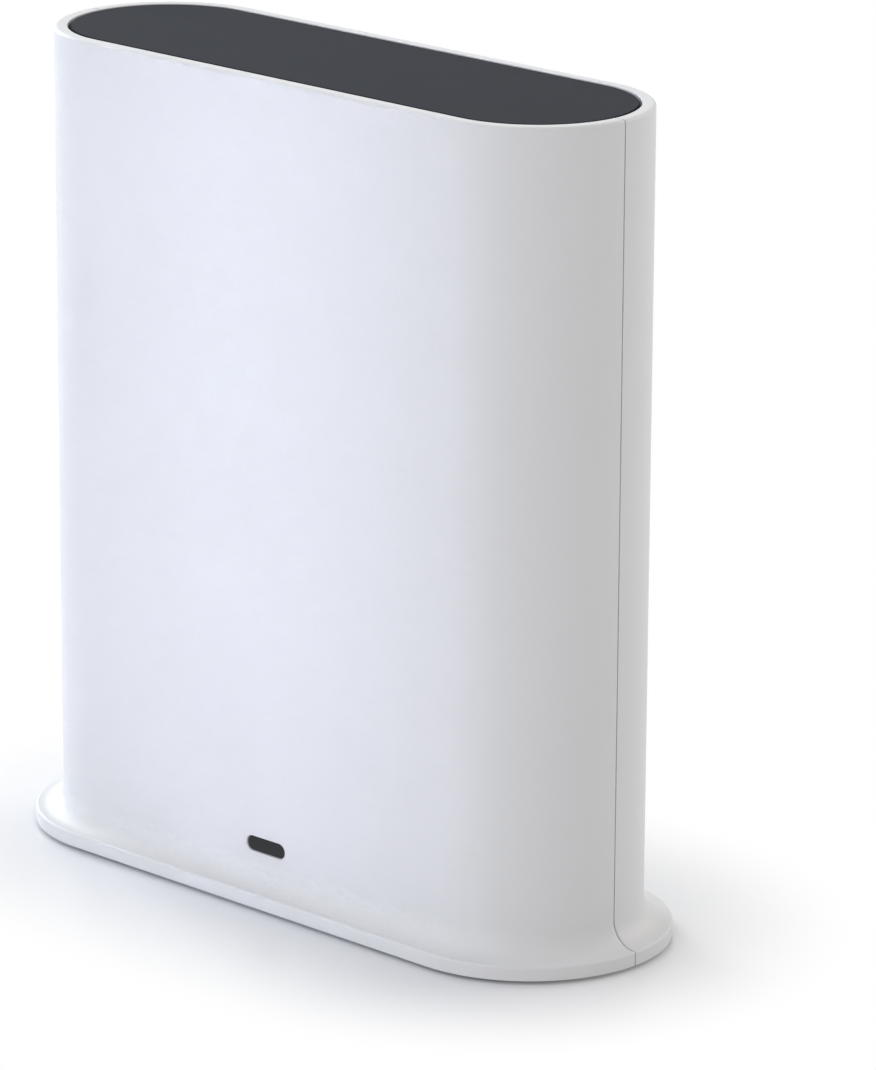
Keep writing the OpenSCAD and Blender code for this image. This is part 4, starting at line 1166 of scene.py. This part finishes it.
def background_rays(material):
    """Rays that meet the white background: the camera's own, mirrored ones, and ones through glass."""
    path = add(material, "ShaderNodeLightPath").outputs
    seen = add(material, "ShaderNodeMath", {
        0: path["Is Camera Ray"], 1: path["Is Glossy Ray"]}, operation="MAXIMUM")
    return add(material, "ShaderNodeMath", {
        0: seen.outputs["Value"], 1: path["Is Transmission Ray"]}, operation="MAXIMUM").outputs["Value"]


def make_floor(stage):
    """Pale coated paper that mirrors the gap under the foot, keeps its shadow and runs out to white."""
    m = new_finish("pale_coated_paper")
    place = add(m, "ShaderNodeTexCoord").outputs["Object"]
    # How far a point is from the line between the foot's round ends, so the fade follows the foot
    low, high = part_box("front_shell")
    foot_r = -low.y
    part = add(m, "ShaderNodeSeparateXYZ", {"Vector": place})
    sideways = add(m, "ShaderNodeMath", {0: part.outputs["X"]}, operation="ABSOLUTE")
    past_end = add(m, "ShaderNodeMath", {
        0: sideways.outputs["Value"], 1: high.x - foot_r - stage.shadow_tuck},
        operation="SUBTRACT", use_clamp=True)
    reach = add(m, "ShaderNodeCombineXYZ", {
        "X": past_end.outputs["Value"], "Y": part.outputs["Y"]})
    away = add(m, "ShaderNodeVectorMath", {0: reach.outputs["Vector"]}, operation="LENGTH")
    fade = add(m, "ShaderNodeMapRange", {
        "Value": away.outputs["Value"], "From Min": foot_r + stage.shadow_start,
        "From Max": foot_r + stage.shadow_end}, interpolation_type="SMOOTHSTEP")
    white = add(m, "ShaderNodeMath", {
        0: fade.outputs["Result"], 1: background_rays(m)}, operation="MULTIPLY")
    paper = add(m, "ShaderNodeBsdfPrincipled", {
        "Base Color": solid(stage.floor), "Roughness": stage.floor_roughness, "IOR": 1.45})
    glow = add(m, "ShaderNodeEmission", {"Color": WHITE, "Strength": 1.0})
    both = add(m, "ShaderNodeMixShader", {
        0: white.outputs["Value"], 1: paper.outputs["BSDF"], 2: glow.outputs["Emission"]})
    add(m, "ShaderNodeOutputMaterial", {"Surface": both.outputs["Shader"]})
    bpy.ops.object.select_all(action="DESELECT")
    bpy.ops.mesh.primitive_plane_add(size=FLOOR_SIZE)
    floor = bpy.context.object
    floor.name = "paper_floor"
    floor.data.materials.append(m)


def make_world(stage):
    """Soft light, weaker from high up at the right, seen as white by the camera and in reflections."""
    scene = bpy.context.scene
    world = scene.world or bpy.data.worlds.new("studio")
    scene.world = world
    world.use_nodes = True
    world.node_tree.nodes.clear()
    ray = add(world, "ShaderNodeTexCoord").outputs["Generated"]
    towards = add(world, "ShaderNodeVectorMath", {0: ray, 1: DIM_WAY}, operation="DOT_PRODUCT")
    strength = add(world, "ShaderNodeMapRange", {
        "Value": towards.outputs["Value"], "From Min": DIM_START,
        "To Min": stage.room_side, "To Max": stage.room_dim})
    room = add(world, "ShaderNodeBackground", {
        "Color": solid(stage.room_tint), "Strength": strength.outputs["Result"]})
    white = add(world, "ShaderNodeBackground", {"Color": WHITE, "Strength": 1.0})
    both = add(world, "ShaderNodeMixShader", {
        0: background_rays(world), 1: room.outputs["Background"], 2: white.outputs["Background"]})
    add(world, "ShaderNodeOutputWorld", {"Surface": both.outputs["Shader"]})


def make_stage(stage):
    """Floor, room light, lamps, camera and plain view settings."""
    make_floor(stage)
    make_world(stage)
    lights = {
        name: lamp(name, place, target, size, getattr(stage, setting), code)
        for name, (setting, place, target, size, code) in LAMPS.items()
    }
    glow = lights["glow_strip"]
    glow.data.spread = stage.glow_spread
    # It only lights the wall: its small shape would show as a streak on the round end
    glow.visible_glossy = False
    make_camera(stage)
    bpy.context.scene.view_settings.view_transform = "Standard"


# The steps and their panel

class STATION_OT_finishes(bpy.types.Operator):
    """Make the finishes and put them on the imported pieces"""

    bl_idname = "station.finishes"
    bl_label = "Finishes"

    def execute(self, context):
        for slot, make in FINISH_OF_SLOT.items():
            FINISHES[slot] = make(context.scene.station_colours)
        for name, node in NODES.items():
            node.data.materials.clear()
            node.data.materials.append(FINISHES[SLOT_OF[name]])
        return {"FINISHED"}


class STATION_OT_shells(bpy.types.Operator):
    """Model the front and rear shells"""

    bl_idname = "station.shells"
    bl_label = "Shells"

    def execute(self, context):
        make_front_shell(context.scene.station_housing, context.scene.station_ports)
        make_rear_shell(context.scene.station_housing, context.scene.station_ports)
        return {"FINISHED"}


class STATION_OT_status_lens(bpy.types.Operator):
    """Model the lens of the status window"""

    bl_idname = "station.status_lens"
    bl_label = "Status lens"

    def execute(self, context):
        make_status_lens(context.scene.station_housing)
        return {"FINISHED"}


class STATION_OT_foot(bpy.types.Operator):
    """Model the rubber ring and the screws under the foot"""

    bl_idname = "station.foot"
    bl_label = "Foot ring and screws"

    def execute(self, context):
        make_foot_ring(context.scene.station_housing)
        make_base_screws(context.scene.station_ports)
        return {"FINISHED"}


class STATION_OT_port_tray(bpy.types.Operator):
    """Model the tray of the port bay"""

    bl_idname = "station.port_tray"
    bl_label = "Port tray"

    def execute(self, context):
        make_port_tray(context.scene.station_housing, context.scene.station_ports)
        return {"FINISHED"}


class STATION_OT_sockets(bpy.types.Operator):
    """Model the network, power and storage sockets"""

    bl_idname = "station.sockets"
    bl_label = "Sockets"

    def execute(self, context):
        make_sockets(context.scene.station_ports)
        return {"FINISHED"}


class STATION_OT_sync_button(bpy.types.Operator):
    """Model the sync button"""

    bl_idname = "station.sync_button"
    bl_label = "Sync button"

    def execute(self, context):
        make_sync_cap(context.scene.station_ports)
        return {"FINISHED"}


class STATION_OT_stage(bpy.types.Operator):
    """Set the floor, the light and the camera"""

    bl_idname = "station.stage"
    bl_label = "Stage"

    def execute(self, context):
        make_stage(context.scene.station_stage)
        return {"FINISHED"}


STEPS = (
    STATION_OT_finishes,
    STATION_OT_shells,
    STATION_OT_status_lens,
    STATION_OT_foot,
    STATION_OT_port_tray,
    STATION_OT_sockets,
    STATION_OT_sync_button,
    STATION_OT_stage,
)
SETTINGS = {
    "station_housing": HousingSizes,
    "station_ports": PortSizes,
    "station_colours": FinishColours,
    "station_stage": StageSettings,
}


class STATION_PT_panel(bpy.types.Panel):
    """Lists the steps that build the base station's looks"""

    bl_label = "Base Station"
    bl_space_type = "VIEW_3D"
    bl_region_type = "UI"
    bl_category = "Base Station"

    def draw(self, context):
        for step in STEPS:
            self.layout.operator(step.bl_idname)
        for name, group in SETTINGS.items():
            box = self.layout.box()
            for key in group.__annotations__:
                box.prop(getattr(context.scene, name), key)


CLASSES = (*SETTINGS.values(), *STEPS, STATION_PT_panel)


def register():
    """Registers the classes and puts the settings on the scene."""
    for made in CLASSES:
        bpy.utils.register_class(made)
    for name, group in SETTINGS.items():
        setattr(bpy.types.Scene, name, PointerProperty(type=group))


def unregister():
    """Takes the settings and the classes away again."""
    for name in SETTINGS:
        delattr(bpy.types.Scene, name)
    for made in reversed(CLASSES):
        bpy.utils.unregister_class(made)


def main():
    """Runs every step."""
    register()
    for step in STEPS:
        family, name = step.bl_idname.split(".")
        getattr(getattr(bpy.ops, family), name)()


if __name__ == "__main__":
    main()
